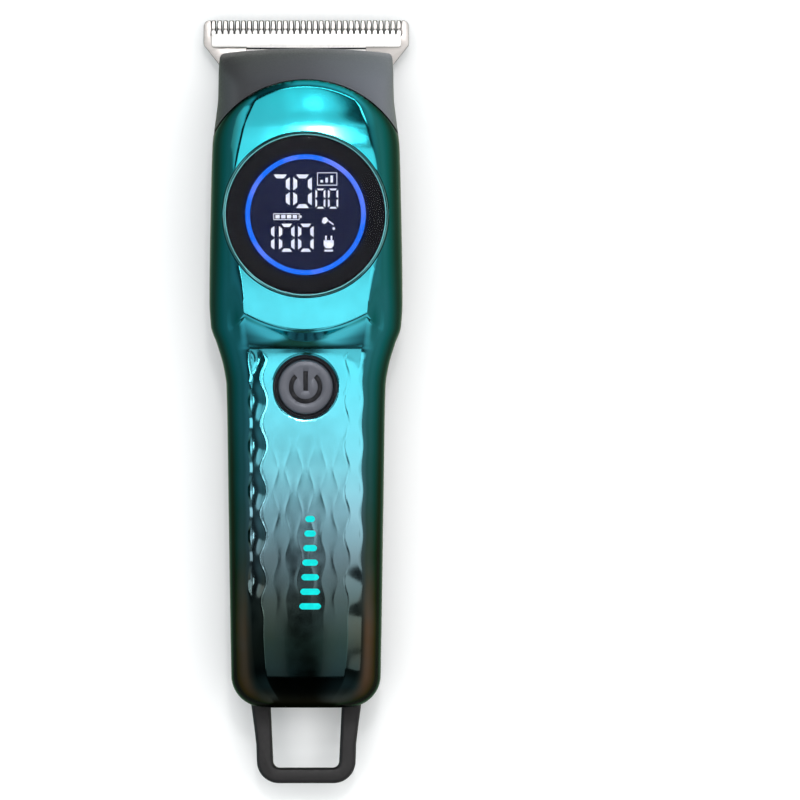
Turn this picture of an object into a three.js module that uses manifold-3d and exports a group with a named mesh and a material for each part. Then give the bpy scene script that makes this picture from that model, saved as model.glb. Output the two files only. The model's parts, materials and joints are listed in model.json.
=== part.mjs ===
import * as THREE from 'three';
import { mergeVertices } from 'three/addons/utils/BufferGeometryUtils.js';
import Module from 'manifold-3d';

// Cordless T-blade hair clipper, in millimetres. It lies on its back: +Z is the display side,
// +Y points at the teeth and z = 0 is the flat back.

// ---- Driving dimensions -------------------------------------------------------------------
const TOOTH_TIP_Y = 76.5;
const NECK_END_Y = 70.7;
const BODY_END_Y = -61.1;
const LOOP_END_Y = -76.5;
const END_CORNER_Y = -54.7;
const END_CORNER_R = 6.4;
const WALL = 2;
const GAP = 0.3;
const PARTING_Z = 15;
const SHOULDER_Z = 17;

const ARCH = { y: 42.9, r: 21.1 };
const FRAME_START_Y = 47.6;
const SEAT_Z = 6.8;

const DISPLAY = { y: 37.2, lensR: 15.9, bezelR: 16.6, holeR: 16.9, topZ: 34.4 };
const BUTTON = { y: 2.9, r: 5.4, holeR: 6.4, topZ: 30.5, flangeR: 7.2, flangeZ: 26.6 };
const MAIN_BOARD = { z: 21.6, thick: 1.2, halfWidth: 8.7, startY: -42, endY: 9 };
const BATTERY = { r: 9, z: 11.5, startY: -50, endY: 0 };
const USB = { width: 8.94, height: 3.26, z: 19.5, mouthY: -60.7, backY: -53.4 };

const MOTOR = { z: 15.5, r: 10.2, halfHeight: 7.7, capY: 10.8, canY: 14.3, frontY: 41 };
const CRANK_OFFSET = 1.1;
const STROKE = 1.1;
const PIN_R = 1;
const CAM = { r: 4, startY: 49, endY: 54 };

const BLADE = { halfWidth: 20.6, rootY: 74.5, backZ: 5.2, thick: 1.3, tailY: 49, pitch: 1.25 };
const CUTTER = { halfWidth: 19, tipY: 74.8, rootY: 73.6, heelY: 71.1, z: 6.8, thick: 1.2, tailHalf: 12 };
const FOLLOWER = { halfWidth: 9.3, z: 8.4, thick: 1.5, startY: 57.2, endY: 68, prongEndY: 60.4, topZ: 19.5 };
const DRIVE_PEG_X = 8;
const DRIVE_PEG_Y = 65;

const LOOP = { y: -57, z: 9, thick: 3.6, eyeR: 2.2, pinR: 1 };
const HOUSING_SCREWS = [[14.6, 22], [-14.6, 22], [11.4, -40], [-11.4, -40]];
const BLADE_SCREWS = [9, -9];
const BLADE_SCREW_Y = 51.5;

// ---- Materials ------------------------------------------------------------------------------
function finish(color, roughness, metalness) {
  return new THREE.MeshStandardMaterial({ color, roughness, metalness });
}
const platedTeal = finish(0x35a9b4, 0.2, 0.9);
const satinGrey = finish(0x4d4f52, 0.5, 0.3);
const satinBlack = finish(0x1c1c1d, 0.55, 0);
const darkGlass = finish(0x101318, 0.08, 0);
const blueLight = finish(0x2f8cff, 0.4, 0);
const blackPlastic = finish(0x121315, 0.5, 0);
const whitePlastic = finish(0xe6e6e0, 0.45, 0);
const polishedSteel = finish(0xe8e6e4, 0.15, 1);
const brushedSteel = finish(0x9c9896, 0.4, 1);
const boardGreen = finish(0x1f6b3a, 0.5, 0);
const nickel = finish(0xc8c4b8, 0.3, 1);
const magnetBlack = finish(0x2b2c30, 0.6, 0.3);
const copperCore = finish(0x9a5b34, 0.4, 0.8);
const cellBlue = finish(0x2b5d9c, 0.4, 0.1);
const leadRed = finish(0xb3261e, 0.5, 0);
const leadBlack = finish(0x17171a, 0.5, 0);

// ---- Solids: joining and cutting ------------------------------------------------------------
const wasm = await Module();
wasm.setup();

function solid(geometry) {
  const bare = geometry.clone();
  bare.deleteAttribute('normal');
  bare.deleteAttribute('uv');
  const merged = mergeVertices(bare, 1e-4);
  const vertProperties = Float32Array.from(merged.attributes.position.array);
  const triVerts = Uint32Array.from(merged.index.array);
  return new wasm.Manifold(new wasm.Mesh({ numProp: 3, vertProperties, triVerts }));
}

function geometryOf(shape) {
  const mesh = shape.getMesh();
  const geometry = new THREE.BufferGeometry();
  geometry.setAttribute('position', new THREE.BufferAttribute(mesh.vertProperties, 3));
  geometry.setIndex(new THREE.BufferAttribute(mesh.triVerts, 1));
  geometry.computeVertexNormals();
  return geometry;
}

function box(x0, x1, y0, y1, z0, z1) {
  const geometry = new THREE.BoxGeometry(x1 - x0, y1 - y0, z1 - z0);
  return geometry.translate((x0 + x1) / 2, (y0 + y1) / 2, (z0 + z1) / 2);
}

// A round bar from z0 to z1, standing at (x, y).
function post(r, x, y, z0, z1, sides = 24) {
  const geometry = new THREE.CylinderGeometry(r, r, z1 - z0, sides).rotateX(Math.PI / 2);
  return geometry.translate(x, y, (z0 + z1) / 2);
}

// A round bar along Y, from y0 to y1, centred on (x, z).
function bar(r, x, z, y0, y1, sides = 24) {
  const geometry = new THREE.CylinderGeometry(r, r, y1 - y0, sides);
  return geometry.translate(x, (y0 + y1) / 2, z);
}

// A round bar along X, from x0 to x1, centred on (y, z).
function axle(r, y, z, x0, x1, sides = 24) {
  const geometry = new THREE.CylinderGeometry(r, r, x1 - x0, sides).rotateZ(Math.PI / 2);
  return geometry.translate((x0 + x1) / 2, y, z);
}

// A flat outline in X and Y, thickened from z0 to z1.
function plate(shape, z0, z1, curveSegments = 10) {
  const geometry = new THREE.ExtrudeGeometry(shape, { depth: z1 - z0, bevelEnabled: false, curveSegments });
  return geometry.translate(0, 0, z0);
}

// A flat outline in X and Z, thickened along Y from y0 to y1.
function slab(shape, y0, y1, curveSegments = 10) {
  const geometry = plate(shape, 0, y1 - y0, curveSegments).rotateX(Math.PI / 2);
  return geometry.translate(0, y1, 0);
}

function ringShape(outer, inner) {
  const shape = new THREE.Shape().absarc(0, 0, outer, 0, 2 * Math.PI);
  shape.holes.push(new THREE.Path().absarc(0, 0, inner, 0, 2 * Math.PI));
  return shape;
}

function cutAll(shape, tools) {
  return tools.reduce((rest, tool) => rest.subtract(solid(tool)), shape);
}

function joinAll(shape, additions) {
  return additions.reduce((whole, piece) => whole.add(solid(piece)), shape);
}

// ---- The body's outside shape ---------------------------------------------------------------
// A smooth curve through [y, value] pairs that never overshoots them.
function along(keys) {
  const slope = keys.slice(1).map(([y, v], i) => (v - keys[i][1]) / (y - keys[i][0]));
  const tangent = keys.map((key, i) => {
    const before = slope[i - 1] ?? slope[0];
    const after = slope[i] ?? slope[slope.length - 1];
    return before * after <= 0 ? 0 : (2 * before * after) / (before + after);
  });
  return (y) => {
    const last = keys.length - 2;
    let i = keys.findIndex(([next], k) => k > 0 && y <= next) - 1;
    i = i < 0 ? last : i;
    const [y0, v0] = keys[i];
    const [y1, v1] = keys[i + 1];
    const t = THREE.MathUtils.clamp((y - y0) / (y1 - y0), 0, 1);
    const span = y1 - y0;
    return v0 * (1 + 2 * t) * (1 - t) ** 2 + v1 * t * t * (3 - 2 * t)
      + span * (tangent[i] * t * (1 - t) ** 2 - tangent[i + 1] * t * t * (1 - t));
  };
}

const sideHalfWidth = along([
  [END_CORNER_Y, 14.95], [-40, 15.2], [-20, 15.5], [3, 15.9], [7, 16.5], [11.5, 17.8],
  [15, 19], [20, 19.3], [45, 18.9], [51, 18.7], [56, 18.1], [61, 17.55], [67, 17.5], [NECK_END_Y, 16.6],
]);
const backHeight = along([
  [BODY_END_Y, 2.5], [-58, 0.6], [-54, 0], [36, 0], [48.4, SEAT_Z], [NECK_END_Y, SEAT_Z],
]);
const creaseHalfWidth = along([
  [BODY_END_Y, 5.5], [END_CORNER_Y, 10], [-45, 10.6], [8, 10.8], [13, 12.4], [20, 13.2],
  [34, 14.8], [44, 14.6], [54, 12.5], [64, 9], [NECK_END_Y, 9],
]);
const coverCrest = along([
  [BODY_END_Y, 23], [-59.5, 25.8], [-57, 28], [-53.3, 29.3], [-20, 30], [10.8, 30.2], [13.6, 33], [18, 33.8],
  [37, 34.1], [50, 34], [54.5, 33.6], [58, 32.9], [61, 31.6], [63, 29.6], [64.1, 27.4], [66, 25],
]);
const neckCrest = along([[46, 30], [56, 28.8], [60, 27.6], [64, 25.6], [67.5, 21.5], [NECK_END_Y, 14.5]]);

// How far the cross lines bow towards the teeth: full along the lower edge of the dome.
const domeBow = along([[0, 0], [10, 1], [16, 1], [34, 0]]);
const DOME_EDGE_R = 22.2;
const CROWN = 0.4;
const FRONT_POWER = 2 / 2.6;
const BACK_CORNER = { x: 6, z: 7 };

function halfWidth(y, inset) {
  if (y >= END_CORNER_Y) return sideHalfWidth(y) - inset;
  const r = END_CORNER_R - inset;
  return sideHalfWidth(END_CORNER_Y) - END_CORNER_R + Math.sqrt(Math.max(r * r - (END_CORNER_Y - y) ** 2, 0));
}

// The right half of one cross-section, from the middle of the back to the middle of the front.
function halfSection(y, crest, inset) {
  const wide = halfWidth(y, inset);
  const top = crest(y) - inset;
  const bottom = backHeight(y) + inset;
  const shoulder = Math.min(SHOULDER_Z, bottom + 0.6 * (top - bottom));
  const crease = Math.min(creaseHalfWidth(y) - inset / 2, wide - 1.5);
  const cornerX = Math.min(BACK_CORNER.x - inset / 2, wide - 1);
  const cornerZ = Math.min(BACK_CORNER.z - inset, shoulder - bottom - 0.5);
  const points = [[0, bottom]];
  const backSteps = 3;
  for (let i = 0; i <= backSteps; i += 1) {
    const t = (i / backSteps) * (Math.PI / 2);
    points.push([wide - cornerX * (1 - Math.sin(t)), bottom + cornerZ * (1 - Math.cos(t))]);
  }
  const frontSteps = 5;
  for (let i = 0; i <= frontSteps; i += 1) {
    const t = (i / frontSteps) * (Math.PI / 2);
    const out = i === frontSteps ? 0 : Math.cos(t) ** FRONT_POWER;
    const up = i === 0 ? 0 : Math.sin(t) ** FRONT_POWER;
    points.push([crease + (wide - crease) * out, shoulder + (top - CROWN - shoulder) * up]);
  }
  points.push([crease / 2, top - CROWN / 4], [0, top]);
  return { points, wide, crease };
}

// A closed skin over cross-sections at the given stations; bow shifts each point along Y.
function lofted(stations, crest, inset, bow) {
  const positions = [];
  const index = [];
  let ring = 0;
  stations.forEach((y) => {
    const { points, wide, crease } = halfSection(y, crest, inset);
    const mirrored = points.slice(1, -1).reverse().map(([x, z]) => [-x, z]);
    const whole = [...points, ...mirrored];
    ring = whole.length;
    whole.forEach(([x, z]) => positions.push(x, y + bow(x, y, wide, crease), z));
  });
  const rows = stations.length;
  for (let row = 0; row < rows - 1; row += 1) {
    for (let i = 0; i < ring; i += 1) {
      const a = row * ring + i;
      const b = row * ring + ((i + 1) % ring);
      index.push(a, a + ring, b, b, a + ring, b + ring);
    }
  }
  [0, rows - 1].forEach((row, end) => {
    const centre = positions.length / 3;
    const { points } = halfSection(stations[row], crest, inset);
    const middle = (points[0][1] + points[points.length - 1][1]) / 2;
    positions.push(0, stations[row], middle);
    for (let i = 0; i < ring; i += 1) {
      const a = row * ring + i;
      const b = row * ring + ((i + 1) % ring);
      index.push(...(end === 0 ? [centre, a, b] : [centre, b, a]));
    }
  });
  const geometry = new THREE.BufferGeometry();
  geometry.setAttribute('position', new THREE.Float32BufferAttribute(positions, 3));
  geometry.setIndex(index);
  return geometry;
}

function coverBow(x, y, wide, crease) {
  const out = Math.abs(x);
  const fade = out <= crease ? 1 : (1 - (out - crease) / (wide - crease)) ** 2;
  return (domeBow(y) * fade * Math.min(out, crease) ** 2) / (2 * DOME_EDGE_R);
}

// The neck's end is gently arched.
const NECK_ARCH = 1;
function neckBow(x, y) {
  const reach = THREE.MathUtils.smoothstep(y, 60, NECK_END_Y);
  return -NECK_ARCH * reach * (x / 17) ** 2;
}

const COVER_STATIONS = [
  -58, -56.2, END_CORNER_Y, -52.5, -45, -30, -12, 2, 7, 10.8, 11.8, 12.8, 13.6, 15.5, 20, 28, 37, 46, 50,
  54.5, 56.5, 58, 60, 61.5, 63, 64, 66,
];
const NECK_STATIONS = [44, 48.4, 52, 56, 60, 64, 66, 68];

function coverLoft(inset) {
  const end = BODY_END_Y + inset;
  const stations = [end, end + 0.3, end + 1.1, ...COVER_STATIONS.filter((y) => y > end + 1.6)];
  return solid(lofted(stations, coverCrest, inset, coverBow));
}

function neckLoft(inset) {
  const end = NECK_END_Y - inset;
  const stations = [...NECK_STATIONS.filter((y) => y < end - 1), end - 0.7, end];
  return solid(lofted(stations, neckCrest, inset, neckBow));
}

function archPrism(clearance, z0, z1) {
  const r = ARCH.r + clearance;
  const shape = new THREE.Shape().moveTo(r, -70).lineTo(r, ARCH.y);
  shape.absarc(0, ARCH.y, r, 0, Math.PI).lineTo(-r, -70);
  return plate(shape, z0, z1, 24);
}

const BIG = 100;
const above = (z) => box(-BIG, BIG, -BIG, BIG, z, BIG);
const below = (z) => box(-BIG, BIG, -BIG, BIG, -BIG, z);

// ---- Covers and head frame ------------------------------------------------------------------
const POST_R = { wide: 2.3, narrow: 2, hole: 1.2 };

function screwPosts(z0, topOf) {
  return HOUSING_SCREWS.map(([x, y]) => post(y > 0 ? POST_R.wide : POST_R.narrow, x, y, z0, topOf(y), 16));
}

function frontCover() {
  const shell = coverLoft(0)
    .intersect(solid(above(PARTING_Z + GAP / 2)))
    .intersect(solid(archPrism(0, 0, 60)))
    .subtract(coverLoft(WALL));
  const posted = joinAll(shell, screwPosts(PARTING_Z + GAP, (y) => (y > 0 ? 31.5 : 28)));
  return cutAll(posted, [
    post(DISPLAY.holeR, 0, DISPLAY.y, 25, 40, 40),
    post(BUTTON.holeR, 0, BUTTON.y, 25, 40, 36),
    slab(roundedRect(4.9, 2, 1.9), -70, -58.5, 5).translate(0, 0, USB.z),
    ...HOUSING_SCREWS.map(([x, y]) => post(POST_R.hole, x, y, 0, 25, 12)),
  ]);
}

function rearCover() {
  const shell = coverLoft(0)
    .intersect(solid(below(PARTING_Z - GAP / 2)))
    .intersect(solid(box(-BIG, BIG, -BIG, FRAME_START_Y - GAP, -BIG, BIG)))
    .subtract(coverLoft(WALL));
  const ribs = [-38, -12].map((y) => box(-8.5, 8.5, y - 1, y + 1, 1.5, 5.5));
  const cradle = cutAll(joinAll(shell, ribs), [bar(BATTERY.r + GAP, 0, BATTERY.z, -45, -5, 32)]);
  const lugs = [[3.6, 6.6], [-6.6, -3.6]].map(([x0, x1]) => box(x0, x1, -59.5, -54.8, 1.5, 11.5));
  const posts = screwPosts(1, () => PARTING_Z - GAP);
  const slots = [[6.8, 11.6], [-11.6, -6.8]].map(([x0, x1]) => box(x0, x1, -70, -57.3, 4.8, 16));
  return cutAll(joinAll(cradle, [...lugs, ...posts]), [
    ...slots,
    axle(LOOP.pinR + 0.15, LOOP.y, LOOP.z, -12, 12, 20),
    ...HOUSING_SCREWS.map(([x, y]) => post(POST_R.hole, x, y, -1, 20, 12)),
    ...HOUSING_SCREWS.map(([x, y]) => post(2.2, x, y, -1, 2.6, 20)),
  ]);
}

function headFrame() {
  const shell = neckLoft(0)
    .intersect(solid(box(-BIG, BIG, FRAME_START_Y, BIG, -BIG, BIG)))
    .subtract(solid(archPrism(GAP, PARTING_Z - GAP / 2, 60)))
    .subtract(neckLoft(WALL));
  const bulkhead = solid(box(-15.5, 15.5, MOTOR.frontY + GAP, MOTOR.frontY + 2.3, 2, 25.5))
    .intersect(coverLoft(WALL + 0.6));
  const arms = [[12.3, 15], [-15, -12.3]].flatMap(([x0, x1]) => [
    box(x0, x1, MOTOR.frontY + 1, 52, 9.6, 14.4),
    box(x0, x1, 48, 52, 8, 14.4),
  ]);
  const bosses = BLADE_SCREWS.map((x) => post(2.4, x, BLADE_SCREW_Y, 8, 12.5, 20));
  const springStop = box(-3, 3, 54.4, 55.3, 8, 10.4);
  const whole = joinAll(shell.add(bulkhead), [...arms, ...bosses, springStop]);
  return cutAll(whole, [
    box(-13.6, 13.6, 56.8, 80, 0, 8.9),
    bar(3.5, 0, MOTOR.z, 38, 46, 24),
    ...[6.5, -6.5].map((x) => bar(1.2, x, MOTOR.z, 38, 46, 12)),
    ...BLADE_SCREWS.map((x) => post(POST_R.hole, x, BLADE_SCREW_Y, 0, 11.5, 12)),
  ]);
}

// ---- Display and button ---------------------------------------------------------------------
function displayBezel() {
  const { topZ, bezelR } = DISPLAY;
  const profile = [[14.8, topZ - 2.6], [bezelR, topZ - 2.6], [bezelR, topZ], [16.2, topZ], [16.2, topZ - 1.6],
    [14.8, topZ - 1.6], [14.8, topZ - 2.6]];
  return new THREE.LatheGeometry(profile.map(([x, y]) => new THREE.Vector2(x, y)), 40).rotateX(Math.PI / 2);
}

function powerButton() {
  const { r, topZ, flangeR, flangeZ } = BUTTON;
  const profile = [[0, flangeZ], [flangeR, flangeZ], [flangeR, flangeZ + 1], [r, flangeZ + 1], [r, topZ - 0.4],
    [r - 0.4, topZ], [0, topZ]];
  return new THREE.LatheGeometry(profile.map(([x, y]) => new THREE.Vector2(x, y)), 30).rotateX(Math.PI / 2);
}

const SWITCH = { half: 3, baseZ: 23.1, topZ: 25.4, recessZ: 24.3, plungerR: 1.7 };

function switchBody() {
  const body = solid(box(-SWITCH.half, SWITCH.half, -SWITCH.half, SWITCH.half, SWITCH.baseZ, SWITCH.topZ));
  return body.subtract(solid(post(2.2, 0, 0, SWITCH.recessZ, 30, 20)));
}

// ---- Motor and drive ------------------------------------------------------------------------
// A round can with two flats, drawn about the shaft's axis.
function flattedCircle(r, halfHeight) {
  const start = Math.asin(halfHeight / r);
  const shape = new THREE.Shape().absarc(0, 0, r, -start, start);
  return shape.absarc(0, 0, r, Math.PI - start, Math.PI + start);
}

function motorCan() {
  const { r, halfHeight, canY, frontY } = MOTOR;
  const outer = solid(slab(flattedCircle(r, halfHeight), canY, frontY));
  const inner = slab(flattedCircle(r - 1, halfHeight - 1), canY - 1, frontY - 1);
  return cutAll(outer.add(solid(bar(3, 0, 0, frontY - 0.5, frontY + 1.5))), [
    inner,
    bar(PIN_R + 0.2, 0, 0, frontY - 5, frontY + 5, 16),
    ...[6.5, -6.5].map((x) => bar(1.2, x, 0, frontY - 5, frontY + 5, 12)),
  ]);
}

function motorEndCap() {
  const cap = solid(slab(flattedCircle(MOTOR.r, MOTOR.halfHeight), MOTOR.capY, MOTOR.canY - GAP));
  return cutAll(cap, [bar(PIN_R + 0.2, 0, 0, 5, 20, 16), box(-6, 6, 5, 12, 4, 6), box(-6, 6, 5, 12, -6, -4)]);
}

function magnet(side) {
  const reach = 0.7;
  const shape = new THREE.Shape().absarc(0, 0, 8.9, -reach, reach);
  shape.absarc(0, 0, 7.1, reach, -reach, true);
  return slab(shape, 17, 36, 8).rotateY(side > 0 ? 0 : Math.PI);
}

function rotorCore() {
  const poles = 3;
  const shape = new THREE.Shape();
  for (let i = 0; i < poles; i += 1) {
    const middle = (i * 2 * Math.PI) / poles;
    shape.absarc(0, 0, 6.5, middle - 0.75, middle + 0.75);
    shape.absarc(0, 0, 3.2, middle + 0.9, middle + 2 * Math.PI / poles - 0.9);
  }
  shape.holes.push(new THREE.Path().absarc(0, 0, PIN_R + 0.2, 0, 2 * Math.PI));
  return slab(shape, 18, 34, 6);
}

function eccentricCam() {
  const disc = solid(bar(CAM.r, 0, 0, CAM.startY, CAM.endY, 28));
  return cutAll(disc, [
    bar(PIN_R + 0.2, 0, 0, 40, 51, 16),
    bar(PIN_R + 0.2, CRANK_OFFSET, 0, 51.8, 60, 16),
    box(-10, -2.4, CAM.startY - 1, CAM.endY - 2, -10, 10),
  ]);
}

function camFollower() {
  const { halfWidth: half, z, thick, startY, endY, prongEndY, topZ } = FOLLOWER;
  const slotHalf = CRANK_OFFSET + PIN_R + STROKE + GAP;
  const base = solid(box(-half, half, startY, endY, z, z + thick));
  return joinAll(base, [
    box(slotHalf, slotHalf + 2.5, startY, prongEndY, z, topZ),
    box(-slotHalf - 2.5, -slotHalf, startY, prongEndY, z, topZ),
    ...[DRIVE_PEG_X, -DRIVE_PEG_X].map((x) => post(0.9, x, DRIVE_PEG_Y, CUTTER.z + 0.2, z + 0.5, 16)),
  ]);
}

// ---- Blades ---------------------------------------------------------------------------------
// Walks the toothed edge from right to left: each gap is a narrow pointed slot.
function toothedEdge(shape, halfSpan, tipY, rootY, gapWidth) {
  const gaps = Math.floor((2 * halfSpan) / BLADE.pitch) - 1;
  const first = ((gaps - 1) * BLADE.pitch) / 2;
  for (let i = 0; i < gaps; i += 1) {
    const x = first - i * BLADE.pitch;
    shape.lineTo(x + gapWidth / 2, tipY);
    shape.lineTo(x + gapWidth / 4, rootY);
    shape.lineTo(x - gapWidth / 4, rootY);
    shape.lineTo(x - gapWidth / 2, tipY);
  }
}

function fixedBlade() {
  const { halfWidth: wide, rootY, backZ, thick, tailY } = BLADE;
  const tail = 12;
  const corner = 1.4;
  const shape = new THREE.Shape().moveTo(-tail, tailY).lineTo(tail, tailY).lineTo(tail, 60.5);
  shape.lineTo(wide, 71.6).lineTo(wide, TOOTH_TIP_Y - corner);
  shape.absarc(wide - corner, TOOTH_TIP_Y - corner, corner, 0, Math.PI / 2);
  toothedEdge(shape, wide - corner, TOOTH_TIP_Y, rootY, 0.6);
  shape.absarc(corner - wide, TOOTH_TIP_Y - corner, corner, Math.PI / 2, Math.PI);
  shape.lineTo(-wide, 71.6).lineTo(-tail, 60.5);
  const holes = BLADE_SCREWS.map((x) => post(POST_R.hole, x, BLADE_SCREW_Y, 0, 20, 12));
  return cutAll(solid(plate(shape, backZ, backZ + thick, 4)), holes);
}

function movingBlade() {
  const { halfWidth: wide, tipY, rootY, heelY, z, thick, tailHalf } = CUTTER;
  const shape = new THREE.Shape().moveTo(-tailHalf, 62).lineTo(tailHalf, 62).lineTo(tailHalf, heelY);
  shape.lineTo(wide, heelY).lineTo(wide, tipY);
  toothedEdge(shape, wide, tipY, rootY, 0.7);
  shape.lineTo(-wide, tipY).lineTo(-wide, heelY).lineTo(-tailHalf, heelY);
  const holes = [DRIVE_PEG_X, -DRIVE_PEG_X].map((x) => post(1.2, x, DRIVE_PEG_Y, 0, 20, 16));
  return cutAll(solid(plate(shape, z, z + thick)), holes);
}

// A round wire or insulated lead through the given points.
function wire(r, points, steps, sides = 8) {
  const section = new THREE.Shape();
  for (let i = 0; i < sides; i += 1) {
    const t = (i * 2 * Math.PI) / sides;
    const place = i === 0 ? 'moveTo' : 'lineTo';
    section[place](r * Math.cos(t), r * Math.sin(t));
  }
  const extrudePath = new THREE.CatmullRomCurve3(points.map((p) => new THREE.Vector3(...p)));
  return new THREE.ExtrudeGeometry(section, { steps, bevelEnabled: false, extrudePath });
}

function bladeSpring() {
  const half = [[8, 66, 10.7], [8, 59.5, 10.7], [7.6, 57.2, 10.4], [5.6, 56.1, 9.8], [2.5, 56, 9.6]];
  const left = half.map(([x, y, z]) => [-x, y, z]).reverse();
  return wire(0.4, [...half, ...left], 24, 6);
}

// ---- Battery, charging and hanging loop -----------------------------------------------------
function roundedRect(halfX, halfZ, r) {
  const shape = new THREE.Shape();
  [[1, 1], [-1, 1], [-1, -1], [1, -1]].forEach(([sx, sz], i) => {
    const start = (i * Math.PI) / 2;
    shape.absarc(sx * (halfX - r), sz * (halfZ - r), r, start, start + Math.PI / 2);
  });
  return shape;
}

function usbShell() {
  const metal = 0.3;
  const { width, height, mouthY, backY } = USB;
  const outer = slab(roundedRect(width / 2, height / 2, 1.5), mouthY, backY, 5);
  const inner = slab(roundedRect(width / 2 - metal, height / 2 - metal, 1.2), mouthY - 1, backY - 0.5, 5);
  return solid(outer).subtract(solid(inner));
}

function hangingLoop() {
  const { y, z, thick, eyeR, pinR } = LOOP;
  const corner = 4.4;
  const innerCorner = 1.3;
  const barY = LOOP_END_Y + 3.1;
  const shape = new THREE.Shape().moveTo(10.9, y).lineTo(11.1, -60.2).lineTo(10, -68.7);
  shape.lineTo(9.9, LOOP_END_Y + corner);
  shape.absarc(9.9 - corner, LOOP_END_Y + corner, corner, 0, -Math.PI / 2, true);
  shape.absarc(corner - 9.9, LOOP_END_Y + corner, corner, -Math.PI / 2, -Math.PI, true);
  shape.lineTo(-10, -68.7).lineTo(-11.1, -60.2).lineTo(-10.9, y).lineTo(-7.3, y).lineTo(-7.1, -61);
  shape.absarc(innerCorner - 6.6, barY + innerCorner, innerCorner, Math.PI, 1.5 * Math.PI);
  shape.absarc(6.6 - innerCorner, barY + innerCorner, innerCorner, 1.5 * Math.PI, 2 * Math.PI);
  shape.lineTo(7.1, -61).lineTo(7.3, y);
  const ring = solid(plate(shape, z - thick / 2, z + thick / 2, 6));
  const eyes = [[7.3, 10.9], [-10.9, -7.3]].map(([x0, x1]) => axle(eyeR, y, z, x0, x1));
  return cutAll(joinAll(ring, eyes), [axle(pinR + 0.15, y, z, -20, 20, 20)]);
}

function panScrew(headR, headThick, shankLength) {
  const head = solid(post(headR, 0, 0, 0, headThick, 14));
  const shank = post(PIN_R, 0, 0, headThick - 0.2, headThick + shankLength, 8);
  const slot = box(-0.35, 0.35, -headR * 0.7, headR * 0.7, -1, 0.5);
  return head.add(solid(shank)).subtract(solid(slot)).subtract(solid(slot.clone().rotateZ(Math.PI / 2)));
}

// ---- Assembly -------------------------------------------------------------------------------
function piece(name, shape, material, x = 0, y = 0, z = 0) {
  const geometry = shape.isBufferGeometry ? shape : geometryOf(shape);
  const mesh = new THREE.Mesh(geometry, material);
  mesh.name = name;
  mesh.position.set(x, y, z);
  return mesh;
}

function groupAt(x, y, z, ...meshes) {
  const group = new THREE.Group();
  group.position.set(x, y, z);
  group.add(...meshes);
  return group;
}

const housing = groupAt(0, 0, 0,
  piece('front_cover', frontCover(), platedTeal),
  piece('rear_cover', rearCover(), satinBlack),
  piece('head_frame', headFrame(), satinGrey));
HOUSING_SCREWS.forEach(([x, y], i) => {
  housing.add(piece(`housing_screw_${i + 1}`, panScrew(1.9, 1.5, 21), brushedSteel, x, y, 0.8));
});

const display = groupAt(0, DISPLAY.y, 0,
  piece('display_bezel', displayBezel(), platedTeal),
  piece('display_lens', post(DISPLAY.lensR, 0, 0, 33.1, 34.2, 40), darkGlass),
  piece('light_ring', plate(ringShape(12, 11.1), 31.9, 32.7, 16), blueLight),
  piece('display_module', post(14.4, 0, 0, 28, 31.6, 36), blackPlastic),
  piece('display_board', post(15.6, 0, 0, 26.4, 27.6, 36), boardGreen));

const button = groupAt(0, BUTTON.y, 0,
  piece('power_button', powerButton(), satinGrey),
  piece('button_gasket', plate(ringShape(6.1, 5.7), 28.4, 29.8, 12), blackPlastic),
  piece('switch_body', switchBody(), blackPlastic),
  piece('switch_plunger', post(SWITCH.plungerR, 0, 0, 25, 26.3, 16), whitePlastic));

const boardTop = MAIN_BOARD.z + MAIN_BOARD.thick + GAP;
const { halfWidth: boardHalf, startY: boardStart, endY: boardEnd, z: boardZ } = MAIN_BOARD;
const electronics = groupAt(0, 0, 0,
  piece('main_board', box(-boardHalf, boardHalf, boardStart, boardEnd, boardZ, boardTop - GAP), boardGreen),
  piece('controller_chip', box(-3.5, 3.5, -16, -9, boardTop, boardTop + 1), blackPlastic),
  piece('board_connector', box(-4, 4, -38, -34, boardTop, boardTop + 3.4), whitePlastic),
  piece('charge_board', box(-6.5, 6.5, -58.6, -52.4, 16.5, 17.5), boardGreen),
  piece('usb_shell', usbShell(), nickel, 0, 0, USB.z),
  piece('usb_tongue', box(-3.3, 3.3, -59.6, -54.4, USB.z - 0.35, USB.z + 0.35), blackPlastic),
  piece('battery_cell', bar(BATTERY.r, 0, BATTERY.z, BATTERY.startY, BATTERY.endY, 32), cellBlue),
  piece('battery_tab_front', box(-3, 3, BATTERY.endY + GAP, BATTERY.endY + 0.7, 8, 16), nickel),
  piece('battery_tab_rear', box(-3, 3, BATTERY.startY - 0.7, BATTERY.startY - GAP, 8, 16), nickel));

const motor = groupAt(0, 0, MOTOR.z,
  piece('motor_can', motorCan(), brushedSteel),
  piece('motor_end_cap', motorEndCap(), whitePlastic),
  piece('motor_magnet_left', magnet(-1), magnetBlack),
  piece('motor_magnet_right', magnet(1), magnetBlack),
  piece('rotor_core', rotorCore(), copperCore),
  piece('commutator', slab(ringShape(2.6, PIN_R + 0.2), 14.8, 17, 6), copperCore),
  piece('motor_shaft', bar(PIN_R, 0, 0, 10, 50.7, 16), polishedSteel),
  piece('eccentric_cam', eccentricCam(), brushedSteel),
  piece('crank_pin', bar(PIN_R, CRANK_OFFSET, 0, 52.1, 60.8, 16), polishedSteel));
[['left', -6.5], ['right', 6.5]].forEach(([side, x]) => {
  const screw = piece(`motor_screw_${side}`, panScrew(1.7, 1.1, 3.8), brushedSteel, x, MOTOR.frontY + 3.7, 0);
  screw.rotation.x = Math.PI / 2;
  motor.add(screw);
});

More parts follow.
